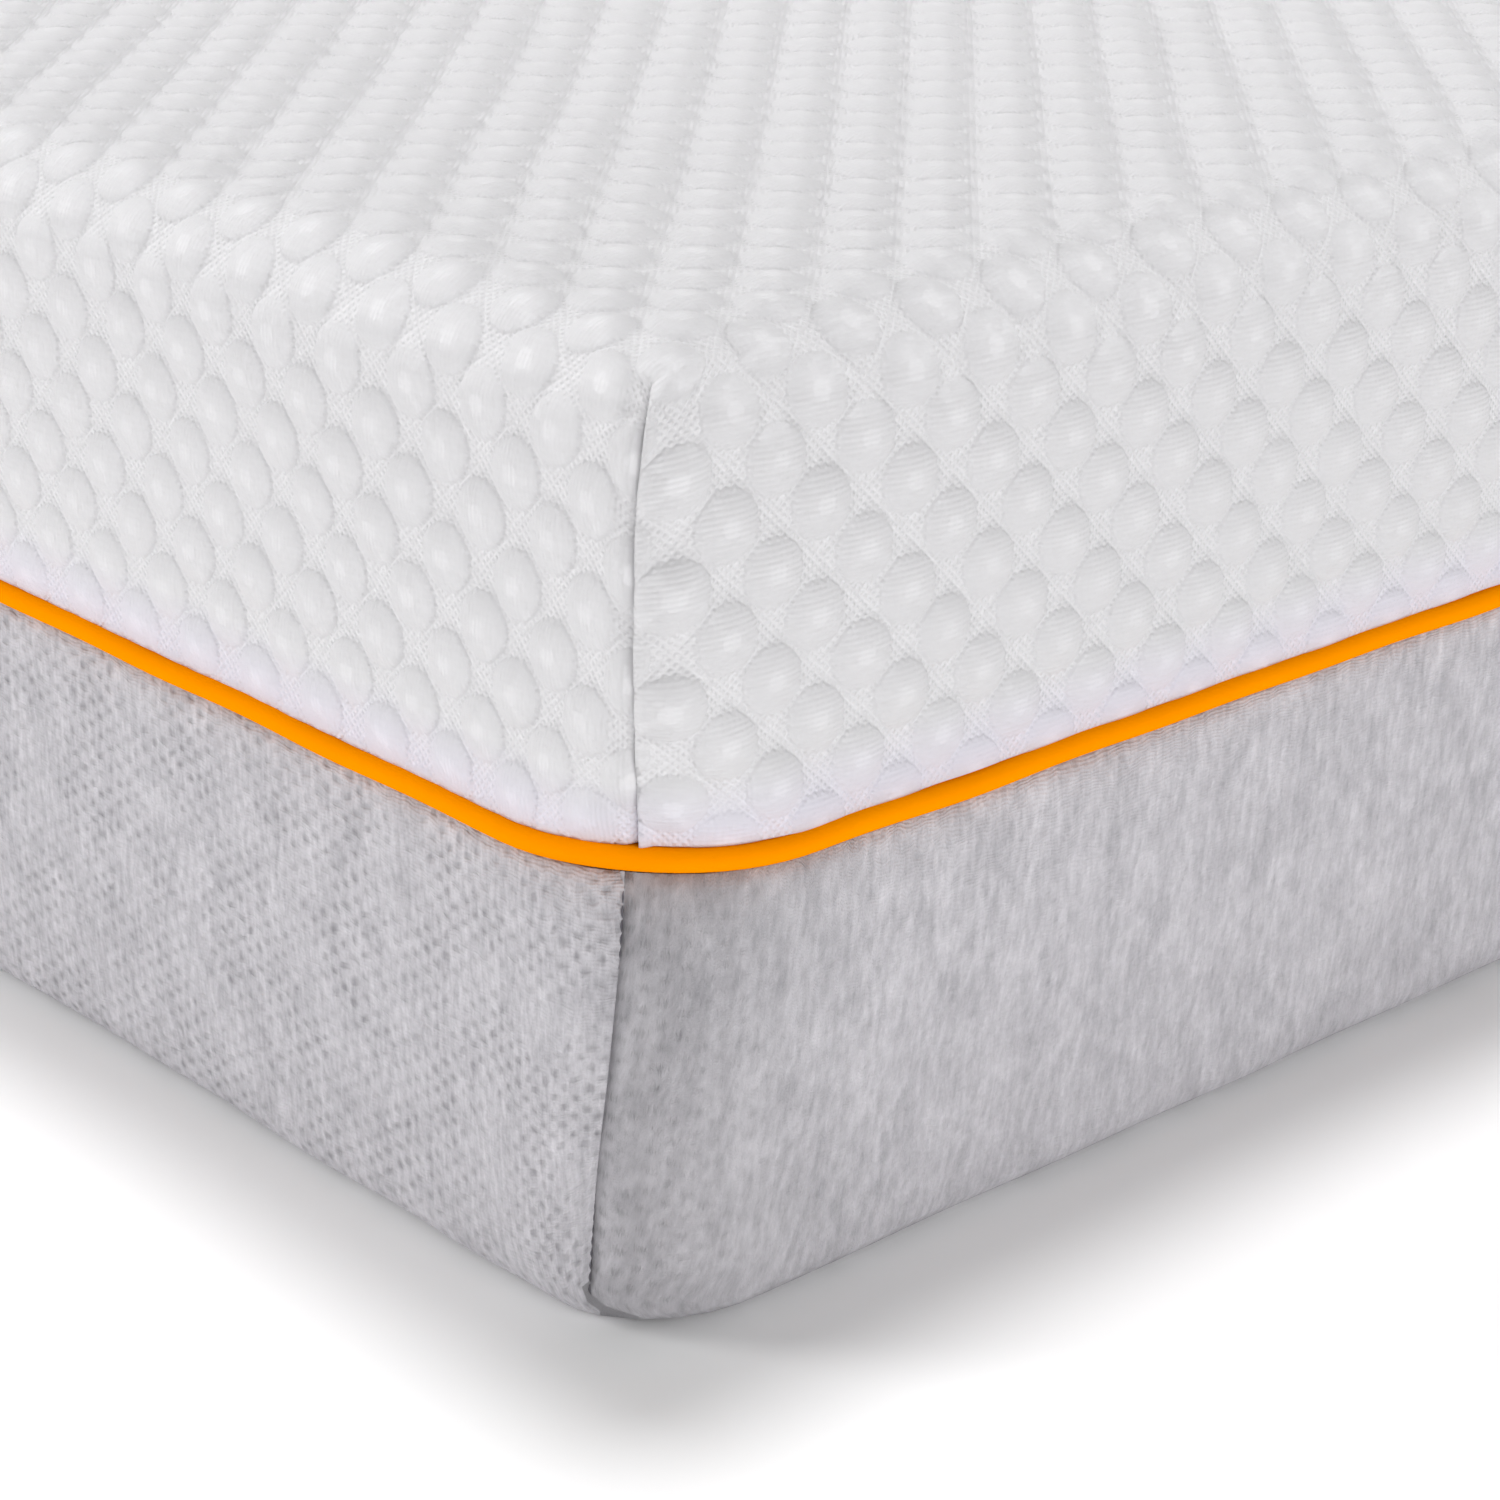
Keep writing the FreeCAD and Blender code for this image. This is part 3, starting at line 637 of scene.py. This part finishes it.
def lining(flat_points, edge_pairs, spacing, wrap):
    """Triangles for the cloth's inner side: its cut outline and a coarse grid inside it."""
    outline = np.unique(edge_pairs)
    number = {int(v): k for k, v in enumerate(outline)}
    ring = [(float(flat_points[v, 0]), float(flat_points[v, 1])) for v in outline]
    edges = [(number[int(a)], number[int(b)]) for a, b in edge_pairs]
    end_x, end_y, arm_x, arm_y = wrap.end_x, wrap.end_y, wrap.arm_x, wrap.arm_y
    gx = np.arange(-end_x + spacing, end_x, spacing)
    gy = np.arange(-end_y + spacing, end_y, spacing)
    grid = np.array(np.meshgrid(gx, gy)).reshape(2, -1).T
    margin = spacing * 0.5
    ax, ay = np.abs(grid[:, 0]), np.abs(grid[:, 1])
    inside = (ax < end_x - margin) & (ay < end_y - margin)
    inside &= (ax < arm_x - margin) | (ay < arm_y - margin)
    curved = (ax > wrap.centre_x) | (ay > wrap.centre_y)
    # one grid line in three is enough where the cloth lies flat
    every_third = (np.round((grid + (end_x, end_y)) / spacing) % 3 == 0).all(1)
    grid = grid[inside & (curved | every_third)]
    points = [Vector(p) for p in ring] + [Vector(p) for p in grid]
    made = geometry.delaunay_2d_cdt(points, edges, [], 0, 1e-7, True)
    place = np.array([[p.x, p.y] for p in made[0]])
    tris = np.array([f for f in made[2] if len(f) == 3], dtype=np.int64)
    middle = np.abs(place[tris].mean(1))
    keep = (middle[:, 0] < end_x) & (middle[:, 1] < end_y)
    keep &= (middle[:, 0] < arm_x) | (middle[:, 1] < arm_y)
    return place, tris[keep], outline


def cover_shape(wrap, flat, depth, seed, hem_pull, seam_pull):
    """Flat cloth round the mattress: points, outward normals, how far soft cloth stands out
    along them at the given depth, length down the flap and distance from the seam."""
    u, v = flat[:, 0], flat[:, 1]
    position, normal, s, seam = wrap.place(u, v)
    soft = 0.9 * MM * waves(u, v, 0.16, seed) + 0.4 * MM * waves(u, v, 0.05, seed + 1)
    wall = smooth(wrap.turn_start, wrap.wall_start, s)
    to_hem = np.maximum(wrap.flap_end - s, 0)
    down = np.clip((s - wrap.turn_start) / (wrap.flap_end - wrap.turn_start), 0, 1)
    bulge = 1.2 * MM * np.sin(down * math.pi) * wall
    pulled = hem_pull * np.exp(-to_hem / (4 * MM))
    seam_zone = np.exp(-seam / (3.2 * MM)) * smooth(wrap.notch - 6 * MM, wrap.notch + 4 * MM, s)
    shift = soft * (1 - wall * np.exp(-to_hem / (20 * MM))) + bulge
    shift = shift - pulled - seam_pull * seam_zone
    return position, normal, shift + depth, s, seam


def lapped_edge(wrap, flat, s, seam):
    """At a corner seam one cut edge laps over the other and stands out."""
    p, q = wrap.past_centre(flat[:, 0], flat[:, 1])
    on_top = (flat[:, 0] * flat[:, 1] < 0) == (p > q)
    on_flap = smooth(wrap.notch, wrap.notch + 12 * MM, s)
    return np.where(on_top, 1.3 * MM, -0.3 * MM) * on_flap * np.exp(-(seam / (1.8 * MM))**2)


def white_cover(material):
    """The bubble sheet cut, wrapped and sewn, with a smooth lining and a closed rim."""
    wrap = WHITE
    points, quads, tris = bubble_sheet(wrap)
    sheet = mesh_object("white_cover", points, [quads, tris], material)
    cut_to_cross(sheet, wrap)
    mesh = sheet.data
    flat = read(mesh.vertices, "co", np.float32, 3).reshape(-1, 3).astype(float)
    relief = flat[:, 2]
    edges = read(mesh.edges, "vertices", width=2).reshape(-1, 2)
    uses = np.bincount(read(mesh.loops, "edge_index"), minlength=len(edges))
    rim = edges[uses == 1]
    inner_xy, inner_tris, outline = lining(flat, rim, 9 * MM, wrap)

    # outer side
    position, normal, shift, s, seam = cover_shape(wrap, flat, 0.0, 11, 0.2 * MM, 0.9 * MM)
    shift = shift + lapped_edge(wrap, flat, s, seam)
    at_hem = smooth(0.5 * MM, 8 * MM, wrap.flap_end - s)
    at_seam = np.where(s > wrap.notch - 2 * MM, smooth(0, 3 * MM, seam), smooth(0, 13 * MM, seam))
    calm = (0.15 + 0.85 * at_hem) * (0.45 + 0.55 * at_seam)
    gap = GAP_LEVEL * (0.2 + 0.8 * at_hem)
    outer = position + normal * (shift + gap + relief * BUBBLE_HEIGHT * calm)[:, None]
    # inner side
    position, normal, shift, _, _ = cover_shape(wrap, inner_xy, 0.4 * MM - WALL, 11,
                                                0.3 * MM, 0.0)
    inner = position + normal * np.minimum(shift, 0.9 * MM - WALL)[:, None]
    # the rim joins each point of the outline to its twin on the inner side
    count = len(flat)
    twins = nearest_twins(flat[outline, :2], inner_xy) + count
    partner = dict(zip(outline.tolist(), twins.tolist()))
    strip = np.array([[a, b, partner[b], partner[a]] for a, b in rim.tolist()])
    groups = read_faces(mesh) + [inner_tris + count, strip]
    bpy.data.objects.remove(sheet)
    cover = outward_mesh("white_cover_knit", np.concatenate([outer, inner]), groups, material)
    lining_cloth = np.column_stack([inner_xy, np.zeros(len(inner_xy))])
    add_cloth_coordinates(cover, np.concatenate([flat, lining_cloth]))
    return cover


def nearest_twins(points, others):
    """Index of the other point that lies on each point."""
    order = {(round(x, 6), round(y, 6)): k for k, (x, y) in enumerate(others.tolist())}
    found = []
    for x, y in points.tolist():
        key = (round(x, 6), round(y, 6))
        if key in order:
            found.append(order[key])
        else:
            found.append(int(np.argmin((others[:, 0] - x) ** 2 + (others[:, 1] - y) ** 2)))
    return np.array(found)


# ---------- grey base cover


def lines(stops, spacing):
    """Grid lines that pass through every stop, no further apart than the spacing."""
    out = []
    for a, b in zip(stops, stops[1:]):
        n = max(1, int(math.ceil((b - a) / spacing)))
        out += [a + (b - a) * k / n for k in range(n)]
    return np.array(out + [stops[-1]])


def grey_face(flat):
    """The grey cloth's outer side at points of the flat cut, and the smooth wrap under it."""
    wrap = GREY
    position, normal, shift, s, seam = cover_shape(wrap, flat, 0.0, 23, 0.8 * MM, 1.4 * MM)
    wall = smooth(wrap.turn_start, wrap.wall_start, s)
    ruffle = np.sin(flat[:, 0] * 900 + 3 * waves(flat[:, 0], flat[:, 1], 0.03, 5))
    gather = 0.35 * MM * ruffle * np.exp(-(wrap.flap_end - s) / (9 * MM))
    return position + normal * ((shift + gather) * wall)[:, None], position, normal, s, seam


def grey_cover(material):
    """A plain sheet gridded through its folds, thin at the lip and open at the zip window."""
    wrap = GREY
    rim_s = wrap.flap_end - (RIM - WALL_RIM)
    cx, cy = wrap.centre_x, wrap.centre_y
    n = wrap.notch
    down = [wrap.turn_start, wrap.wall_start, rim_s, wrap.flap_end]

    def full(centre, extra):
        half = sorted({0.0, centre, centre + n, *[centre + d for d in down], *extra})
        return sorted({-h for h in half} | set(half))

    xs = lines(full(cx, [WINDOW_HALF]), 6 * MM)
    ys = lines(full(cy, []), 6 * MM)
    grid_u, grid_v = np.meshgrid(xs, ys, indexing="ij")
    index = np.arange(grid_u.size).reshape(grid_u.shape)
    mu, mv = np.meshgrid((xs[:-1] + xs[1:]) / 2, (ys[:-1] + ys[1:]) / 2, indexing="ij")
    keep = ~((np.abs(mu) > cx + n) & (np.abs(mv) > cy + n))
    keep &= ~((np.abs(mu) < WINDOW_HALF) & (mv > cy + rim_s))
    cells = grid_faces(index)[keep]
    used = np.unique(cells)
    renumber = np.full(grid_u.size, -1)
    renumber[used] = np.arange(len(used))
    cells = renumber[cells]
    flat = np.column_stack([grid_u.ravel()[used], grid_v.ravel()[used]])
    outer, position, normal, s, seam = grey_face(flat)
    thick = np.where(s > rim_s - 0.1 * MM, LIP_WALL, WALL)
    inner = position - normal * (thick - 0.2 * MM)[:, None]
    cover = two_sided("grey_cover_knit", outer, inner, cells, material)
    p, q = wrap.past_centre(flat[:, 0], flat[:, 1])
    over_x = p > q
    wales = np.where(over_x[:, None], flat[:, ::-1], flat)
    # the long walls get faint pits, with faint painted pit shade, stronger beside the seams
    pitted = np.where(over_x, 0.18 + 0.75 * np.exp(-seam / (20 * MM)), 1.0)
    weave = np.column_stack([np.tile(wales, (2, 1)), np.tile(pitted, 2)])
    add_cloth_coordinates(cover, weave)
    return cover


# ---------- bands that run all round


def plan_loop(half_x, half_y, radius, spacing, steps):
    """A round-cornered rectangle, counter-clockwise: its points and outward directions."""
    cx, cy = half_x - radius, half_y - radius
    points, outs = [], []
    for k, (sx, sy) in enumerate(((1, -1), (1, 1), (-1, 1), (-1, -1))):
        for m in range(steps + 1):
            a = (k - 1) * math.pi / 2 + m / steps * math.pi / 2
            points.append((sx * cx + radius * math.cos(a), sy * cy + radius * math.sin(a)))
            outs.append((math.cos(a), math.sin(a)))
        length = 2 * (cy if k % 2 == 0 else cx)
        runs = int(length / spacing)
        (ax, ay), (ox, oy) = points[-1], outs[-1]
        for m in range(1, runs):
            t = m / runs * length
            points.append((ax - oy * t, ay + ox * t))
            outs.append((ox, oy))
    return np.array(points), np.array(outs)


def face_loop(spacing):
    """Points on the walls' face round the plan, their outward directions and running length."""
    steps = max(8, int(PLAN_RADIUS * math.pi / 2 / spacing))
    points, outs = plan_loop(FACE_X, FACE_Y, PLAN_RADIUS, spacing, steps)
    gaps = np.linalg.norm(np.roll(points, -1, 0) - points, axis=1)
    return points, outs, np.concatenate([[0], np.cumsum(gaps)[:-1]])


def lifted(points, outs, out, level):
    """Points moved out from the face and up to a level."""
    flat = points + outs * np.reshape(out, (-1, 1))
    return np.column_stack([flat, np.broadcast_to(level, len(flat))])


def closed_band(name, rings, material):
    """A closed skin over rings of points that follow one another round the plan."""
    n, sides, _ = rings.shape
    index = np.arange(n * sides).reshape(n, sides)
    quads = band_faces(index, np.roll(index, -1, 0))
    return outward_mesh(name, rings.reshape(-1, 3), [quads], material)


def swept_band(name, profile, spacing, material, sway=0.0, seed=0):
    """A profile of (out, level) corners carried round the plan, swaying a little in level."""
    points, outs, run = face_loop(spacing)
    whole = run[-1] + spacing
    drift = np.zeros_like(run)
    mix = np.random.default_rng(seed)
    for _ in range(9):
        count = mix.integers(20, 110)
        drift += np.sin(run / whole * 2 * math.pi * count + mix.uniform(0, 6.28)) * sway / 3
    rings = np.stack([lifted(points, outs, out, level + drift) for out, level in profile], 1)
    return closed_band(name, rings, material)


def circle_profile(out, level, radius, sides):
    angle = np.arange(sides) * 2 * math.pi / sides
    return [(out + radius * math.cos(a), level + radius * math.sin(a)) for a in angle]


def box_profile(low_out, high_out, low, high, round_off):
    """A flat band's section with its corners taken off."""
    r = round_off
    return [(low_out, low + r), (low_out + r, low), (high_out - r, low), (high_out, low + r),
            (high_out, high - r), (high_out - r, high), (low_out + r, high), (low_out, high - r)]


def piping(material, cord_material):
    """Satin sleeve with its sewing flange, and the filler cord inside."""
    out = PIPE_PROUD - PIPE_RADIUS
    profile = []
    for out_step, level_step in circle_profile(0, 0, PIPE_RADIUS * 1.01, 22):
        tail = out_step < -0.3 * PIPE_RADIUS and level_step > 0
        if tail and level_step > 0.5 * PIPE_RADIUS:
            profile.append((out + out_step - 2.2 * MM, PIPE_LEVEL + PIPE_RADIUS))
        elif tail:
            profile.append((out + out_step - 1.2 * MM, PIPE_LEVEL + 0.6 * PIPE_RADIUS))
        else:
            profile.append((out + out_step, PIPE_LEVEL + level_step))
    sleeve = swept_band("piping_sleeve_cloth", profile, 4 * MM, material, 0.25 * MM, 4)
    core = circle_profile(out, PIPE_LEVEL, PIPE_RADIUS * 0.62, 10)
    cord = swept_band("piping_filler", core, 4 * MM, cord_material, 0.25 * MM, 4)
    return sleeve, cord


def zip_tape(name, node_name, material):
    low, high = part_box(node_name)
    outer = high[0] - FACE_X
    profile = box_profile(outer - 0.6 * MM, outer, low[2], high[2], 0.15 * MM)
    return swept_band(name, profile, 6 * MM, material)


def zip_coil(name, node_name, material):
    """A nylon monofilament wound round and round beside the tape's edge."""
    low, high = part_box(node_name)
    wire = 0.26 * MM
    tall = (high[2] - low[2]) / 2 - wire
    deep = 1 * MM - wire
    out = high[0] - FACE_X - 1 * MM
    pitch, per_turn, sides = 2.1 * MM, 8, 5
    points, outs, run = face_loop(pitch / per_turn)
    whole = run[-1] + pitch / per_turn
    turns = round(whole / pitch)
    phase = run / whole * turns * 2 * math.pi
    rings = []
    skew = np.roll(points, -1, 0) - points
    skew /= np.linalg.norm(skew, axis=1)[:, None]
    for k in range(sides):
        around = k * 2 * math.pi / sides
        reach = 1 + wire / deep * math.cos(around)
        lift = 1 + wire / tall * math.cos(around)
        ring = lifted(points, outs, out + deep * reach * np.cos(phase),
                      (low[2] + high[2]) / 2 + tall * lift * np.sin(phase))
        ring[:, :2] += skew * wire * math.sin(around)
        rings.append(ring)
    return closed_band(name, np.stack(rings, 1), material)


# ---------- corner seams

CORNERS = {"foot_left": (-1, -1), "foot_right": (1, -1), "head_right": (1, 1),
           "head_left": (-1, 1)}


def seam_line(wrap, corner, low, high, spacing):
    """Where a corner's two cut edges meet, between two heights: points and outward normals."""
    sx, sy = CORNERS[corner]
    down = np.arange(wrap.notch, wrap.flap_end, spacing)
    on_y, normal_y, _, _ = wrap.place(np.full_like(down, sx * wrap.arm_x),
                                      sy * (wrap.centre_y + down))
    on_x, normal_x, _, _ = wrap.place(sx * (wrap.centre_x + down),
                                      np.full_like(down, sy * wrap.arm_y))
    line = (on_x + on_y) / 2
    normal = normal_x + normal_y
    normal /= np.linalg.norm(normal, axis=1)[:, None]
    keep = (line[:, 2] > low) & (line[:, 2] < high)
    return line[keep], normal[keep]


def capped_tube(rings):
    """Points and faces of an open run of rings with its two ends closed."""
    n, sides, _ = rings.shape
    index = np.arange(n * sides).reshape(n, sides)
    quads = band_faces(index[:-1], index[1:])
    centres = np.stack([rings[0].mean(0), rings[-1].mean(0)])
    points = np.concatenate([rings.reshape(-1, 3), centres])
    tris = []
    for k in range(sides):
        following = (k + 1) % sides
        tris.append((index[0, k], index[0, following], n * sides))
        tris.append((index[-1, following], index[-1, k], n * sides + 1))
    return points, quads, np.array(tris)


def seam_allowance(name, node_name, wrap, corner, material):
    """The two turned-in cloth edges behind a corner seam, rolled slightly apart."""
    low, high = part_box(node_name)
    line, normal = seam_line(wrap, corner, low[2], high[2], 2 * MM)
    across = np.cross(normal, [0, 0, 1.0])
    across /= np.linalg.norm(across, axis=1)[:, None]
    along = np.arange(len(line)) * 2 * MM
    curl = 0.3 * MM * np.sin(along / (7 * MM) + 2)
    half = [(5.3, 0.4), (7.5, 0.75), (9.6, 0.95), (10.8, 0.8), (11.0, 0.4), (10.2, 0.05)]
    section = half + [(depth, -side) for depth, side in reversed(half)]
    rings = np.stack([line - normal * depth * MM + across * (side * MM + curl * depth / 11)[:, None]
                      for depth, side in section], 1)
    points, quads, tris = capped_tube(rings)
    return outward_mesh(name, points, [quads, tris], material)


def stitches(name, wrap, corner, low, high, lift, material):
    """Thread that shows along a corner seam: one short bead after another."""
    line, normal = seam_line(wrap, corner, low, high, 0.4 * MM)
    pitch, length = 7, 6        # of a stitch, counted in points of the line
    radius = 0.22 * MM
    points, quads, tris, base = [], [], [], 0
    angle = np.arange(6) * math.pi / 3
    for start in range(0, len(line) - length, pitch):
        part = slice(start, start + length + 1)
        across = np.cross(normal[part], [0, 0, 1.0])
        swell = np.sin(np.linspace(0.25, math.pi - 0.25, length + 1))
        centre = line[part] + normal[part] * (lift + 0.25 * MM * swell)[:, None]
        rings = centre[:, None] + radius * swell[:, None, None] * (
            np.cos(angle)[:, None] * normal[part][:, None]
            + np.sin(angle)[:, None] * across[:, None])
        p, q, t = capped_tube(rings)
        points.append(p)
        quads.append(q + base)
        tris.append(t + base)
        base += len(p)
    return outward_mesh(name, np.concatenate(points),
                        [np.concatenate(quads), np.concatenate(tris)], material)


# ---------- foam core and sock


def rounded_block(low, high, plan_radius, low_edge, high_edge, soft, seed):
    """Points and faces of a slab with rounded edges and a slightly uneven surface."""
    points, outs = plan_loop(high[0], high[1], plan_radius, 12 * MM, 10)
    steps = np.linspace(0, math.pi / 2, 7)
    profile = [(low_edge * (1 - math.sin(a)), low[2] + low_edge * (1 - math.cos(a)))
               for a in steps]
    wall_low, wall_high = low[2] + low_edge, high[2] - high_edge
    profile += [(0, wall_low + (wall_high - wall_low) * k / 8) for k in range(1, 8)]
    profile += [(high_edge * (1 - math.cos(a)), high[2] - high_edge * (1 - math.sin(a)))
                for a in steps]
    rings = []
    for inset, level in profile:
        ring = lifted(points, outs, -inset, level)
        wave = waves(ring[:, 0] + ring[:, 1], ring[:, 1] - ring[:, 0] + 3 * level, 0.11, seed)
        ring[:, :2] += outs * (wave * soft - soft)[:, None]
        rings.append(ring)
    # the flat ends close in towards their middle
    caps = []
    for shrink in (0.96, 0.9, 0.8, 0.68, 0.54, 0.4, 0.26, 0.13, 0.05):
        cap = rings[-1] * (shrink, shrink, 1)
        cap[:, 2] += (waves(cap[:, 0], cap[:, 1], 0.2, seed + 1) - 1) * soft
        caps.append(cap)
    floor = [rings[0] * (shrink, shrink, 1) for shrink in (0.05, 0.3, 0.6, 0.85, 0.96)]
    return capped_tube(np.stack(floor + rings + caps))


def foam_slab(name, node_name, low_edge, high_edge, material, seed):
    low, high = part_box(node_name)
    points, quads, tris = rounded_block(low, high, 47 * MM, low_edge, high_edge, 0.25 * MM, seed)
    return outward_mesh(name, points, [quads, tris], material)


def sock(name, node_name, material):
    """A thin closed shell of jersey round the foam."""
    low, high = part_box(node_name)
    outer = rounded_block(low, high, 48 * MM, 12 * MM, 26 * MM, 0.2 * MM, 41)
    thin = Vector((0.5 * MM, 0.5 * MM, 0.5 * MM))
    inner = rounded_block(Vector(low) + thin, Vector(high) - thin, 47.5 * MM, 11.5 * MM,
                          25.5 * MM, 0.2 * MM, 41)
    count = len(outer[0])
    faces = [outer[1], inner[1][:, ::-1] + count, outer[2], inner[2][:, ::-1] + count]
    return mesh_object(name, np.concatenate([outer[0], inner[0]]), faces, material)


def care_label(name, node_name, material):
    """A blank satin label, sewn along its upper edge and hanging in a slight curl."""
    low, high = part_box(node_name)
    width, height = high[0] - low[0], high[2] - low[2]
    across, down = 13, 17
    a, d = np.meshgrid(np.linspace(0, 1, across), np.linspace(0, 1, down), indexing="ij")
    out = (0.25 + 0.9 * d**2 * (0.6 + 0.4 * np.sin(5 * a + 1))) * MM
    side, level = low[0] + a * width, high[2] - d * height
    down_flap = GREY.centre_y + GREY.wall_start - GREY.edge + level - GREY.level
    cloth = grey_face(np.column_stack([side.ravel(), down_flap.ravel()]))[0][:, 1]
    front = np.stack([side, cloth.reshape(side.shape) + out + 0.4 * MM, level], -1)
    back = front - np.array([0, 0.3 * MM, 0])
    index = np.arange(across * down).reshape(across, down)
    cells = grid_faces(index).reshape(-1, 4)
    made = two_sided(name, front.reshape(-1, 3), back.reshape(-1, 3), cells, material)
    return made, (width, height)


# ---------- stage


def stage():
    bpy.ops.mesh.primitive_plane_add(size=120, location=(0, 0, base_low[2] - 0.3 * MM))
    floor = bpy.context.object
    floor.name = "studio_floor"
    floor.data.materials.append(Look("studio_floor", (0.97, 0.97, 0.97), 0.9).material)


def softbox(name, towards_light, strength, spread):
    """A far, wide studio light: its direction, its light on a facing surface and its width."""
    data = bpy.data.lights.new(name, "SUN")
    data.energy = strength * math.pi
    data.angle = math.radians(spread)
    light = link(bpy.data.objects.new(name, data))
    light.rotation_euler = Vector(towards_light).to_track_quat("Z", "Y").to_euler()


def lights():
    world = bpy.data.worlds.new("studio")
    bpy.context.scene.world = world
    world.use_nodes = True
    sky = world.node_tree.nodes["Background"]
    sky.inputs["Color"].default_value = (1, 1, 1, 1)
    sky.inputs["Strength"].default_value = 0.19
    softbox("overhead", (-0.16, 0.16, 1), 0.58, 13)
    softbox("left", (-0.74, -0.58, 0.24), 0.59, 22)
    softbox("right", (0.93, -0.30, 0.27), 0.60, 50)
    softbox("back_left", (-1, 0.2, 0.08), 0.24, 40)
    softbox("back_right", (0.05, 1, 0.08), 0.24, 40)


# degrees, metres from the shown lower corner, and millimetres for the lens
VIEW = {"azimuth": 47.51, "elevation": 22.11, "distance": 0.6984, "roll": 0.59,
        "target": (0.2 * MM, 24.0 * MM, 120.9 * MM), "lens": 91.37}


def camera():
    data = bpy.data.cameras.new("camera")
    data.sensor_width = 36
    data.lens = VIEW["lens"]
    data.clip_start = 0.01
    cam = link(bpy.data.objects.new("camera", data))
    a, e = math.radians(VIEW["azimuth"]), math.radians(VIEW["elevation"])
    back = Vector((math.sin(a) * math.cos(e), -math.cos(a) * math.cos(e), math.sin(e)))
    cam.location = Vector((FACE_X, -FACE_Y, 0)) + Vector(VIEW["target"]) + back * VIEW["distance"]
    turn = back.to_track_quat("Z", "Y").to_matrix() @ Matrix.Rotation(
        math.radians(VIEW["roll"]), 3, "Z")
    cam.rotation_euler = turn.to_euler()
    bpy.context.scene.camera = cam


def fit(piece, body, node_name):
    """Put a finished piece on its body in place of its plain solid."""
    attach(piece, body)
    if node_name:
        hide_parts(node_name)
    return piece


def keep_metal(node_name, material):
    """A solid whose own shape is right takes the metal."""
    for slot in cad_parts[node_name].material_slots:
        slot.material = material


def core():
    foams = (("support_foam_slab", "support_foam", 11 * MM, 0.5 * MM, (0.62, 0.66, 0.70), 2.2 * MM),
             ("comfort_foam_slab", "comfort_foam", 0.5 * MM, 0.5 * MM, (0.78, 0.72, 0.55), 1.6 * MM),
             ("memory_foam_slab", "memory_foam", 0.5 * MM, 25 * MM, (0.80, 0.78, 0.70), 0.9 * MM))
    for seed, (name, node_name, low_edge, high_edge, colour, cell) in enumerate(foams):
        slab = foam_slab(name, node_name, low_edge, high_edge, foam(node_name, colour, cell), seed)
        fit(slab, "root", node_name)
    jersey = plain_cloth("sock_jersey", (0.78, 0.78, 0.77), 1.3 * MM, 0.0002)
    cover = fit(sock("sock_jersey_shell", "inner_sock", jersey), "root", "inner_sock")


def covers():
    white = fit(white_cover(white_knit()), "top_cover", "top_cover_panel")
    grey = fit(grey_cover(grey_knit()), "root", "base_cover_panel")


def seams():
    white_allowance = plain_cloth("white_seam", (0.75, 0.74, 0.76), 1.1 * MM, 0.0002)
    grey_allowance = plain_cloth("grey_seam", (0.40, 0.38, 0.41), 1.1 * MM, 0.0002)
    white_thread = nylon("white_thread", (0.72, 0.71, 0.73))
    dark_thread = nylon("dark_thread", (0.09, 0.085, 0.10))
    halves = (("top", "top_cover", WHITE, white_allowance, "white_seam",
               (HEM + 4 * MM, TOP - 12 * MM, -2.6 * MM, white_thread)),
              ("base", "root", GREY, grey_allowance, "grey_seam",
               (5 * MM, RIM - 1 * MM, -0.9 * MM, dark_thread)))
    for corner in CORNERS:
        for half, body, wrap, allowance, slot, thread in halves:
            name = f"{half}_corner_seam_{corner}"
            fit(seam_allowance(name + "_fold", name, wrap, corner, allowance), body, name)
            fit(stitches(name + "_thread", wrap, corner, *thread), body, None)


def trim():
    orange = piping_cloth()
    filler = plain_cloth("white_filler_cord", (0.8, 0.79, 0.76), 1.2 * MM, 0.0002)
    sleeve, cord = piping(orange, filler)
    fit(sleeve, "top_cover", "piping_sleeve")
    fit(cord, "top_cover", "piping_cord")
    tape = plain_cloth("zip_tape", (0.66, 0.65, 0.67), 0.9 * MM, 0.0003)
    coil = nylon("zip_coil", (0.70, 0.69, 0.71))
    steel = metal("zip_metal", (0.62, 0.62, 0.64))
    for half, body in (("lower", "root"), ("upper", "top_cover")):
        for make, part, finish, material in ((zip_tape, "tape", "weave", tape),
                                             (zip_coil, "coil", "winding", coil)):
            name = f"{half}_zip_{part}"
            fit(make(f"{half}_{part}_{finish}", name, material), body, name)
        keep_metal(half + "_zip_stop", steel)
    keep_metal("zip_slider", steel)
    keep_metal("zip_pull_tab", steel)
    satin = plain_cloth("label_satin", (0.86, 0.86, 0.85), 0.5 * MM, 0.00008)
    label, flat = care_label("care_label_satin", "care_label", satin)
    fit(label, "root", "care_label")


bpy.context.scene.view_settings.view_transform = "Standard"
core()
covers()
seams()
trim()
stage()
lights()
camera()
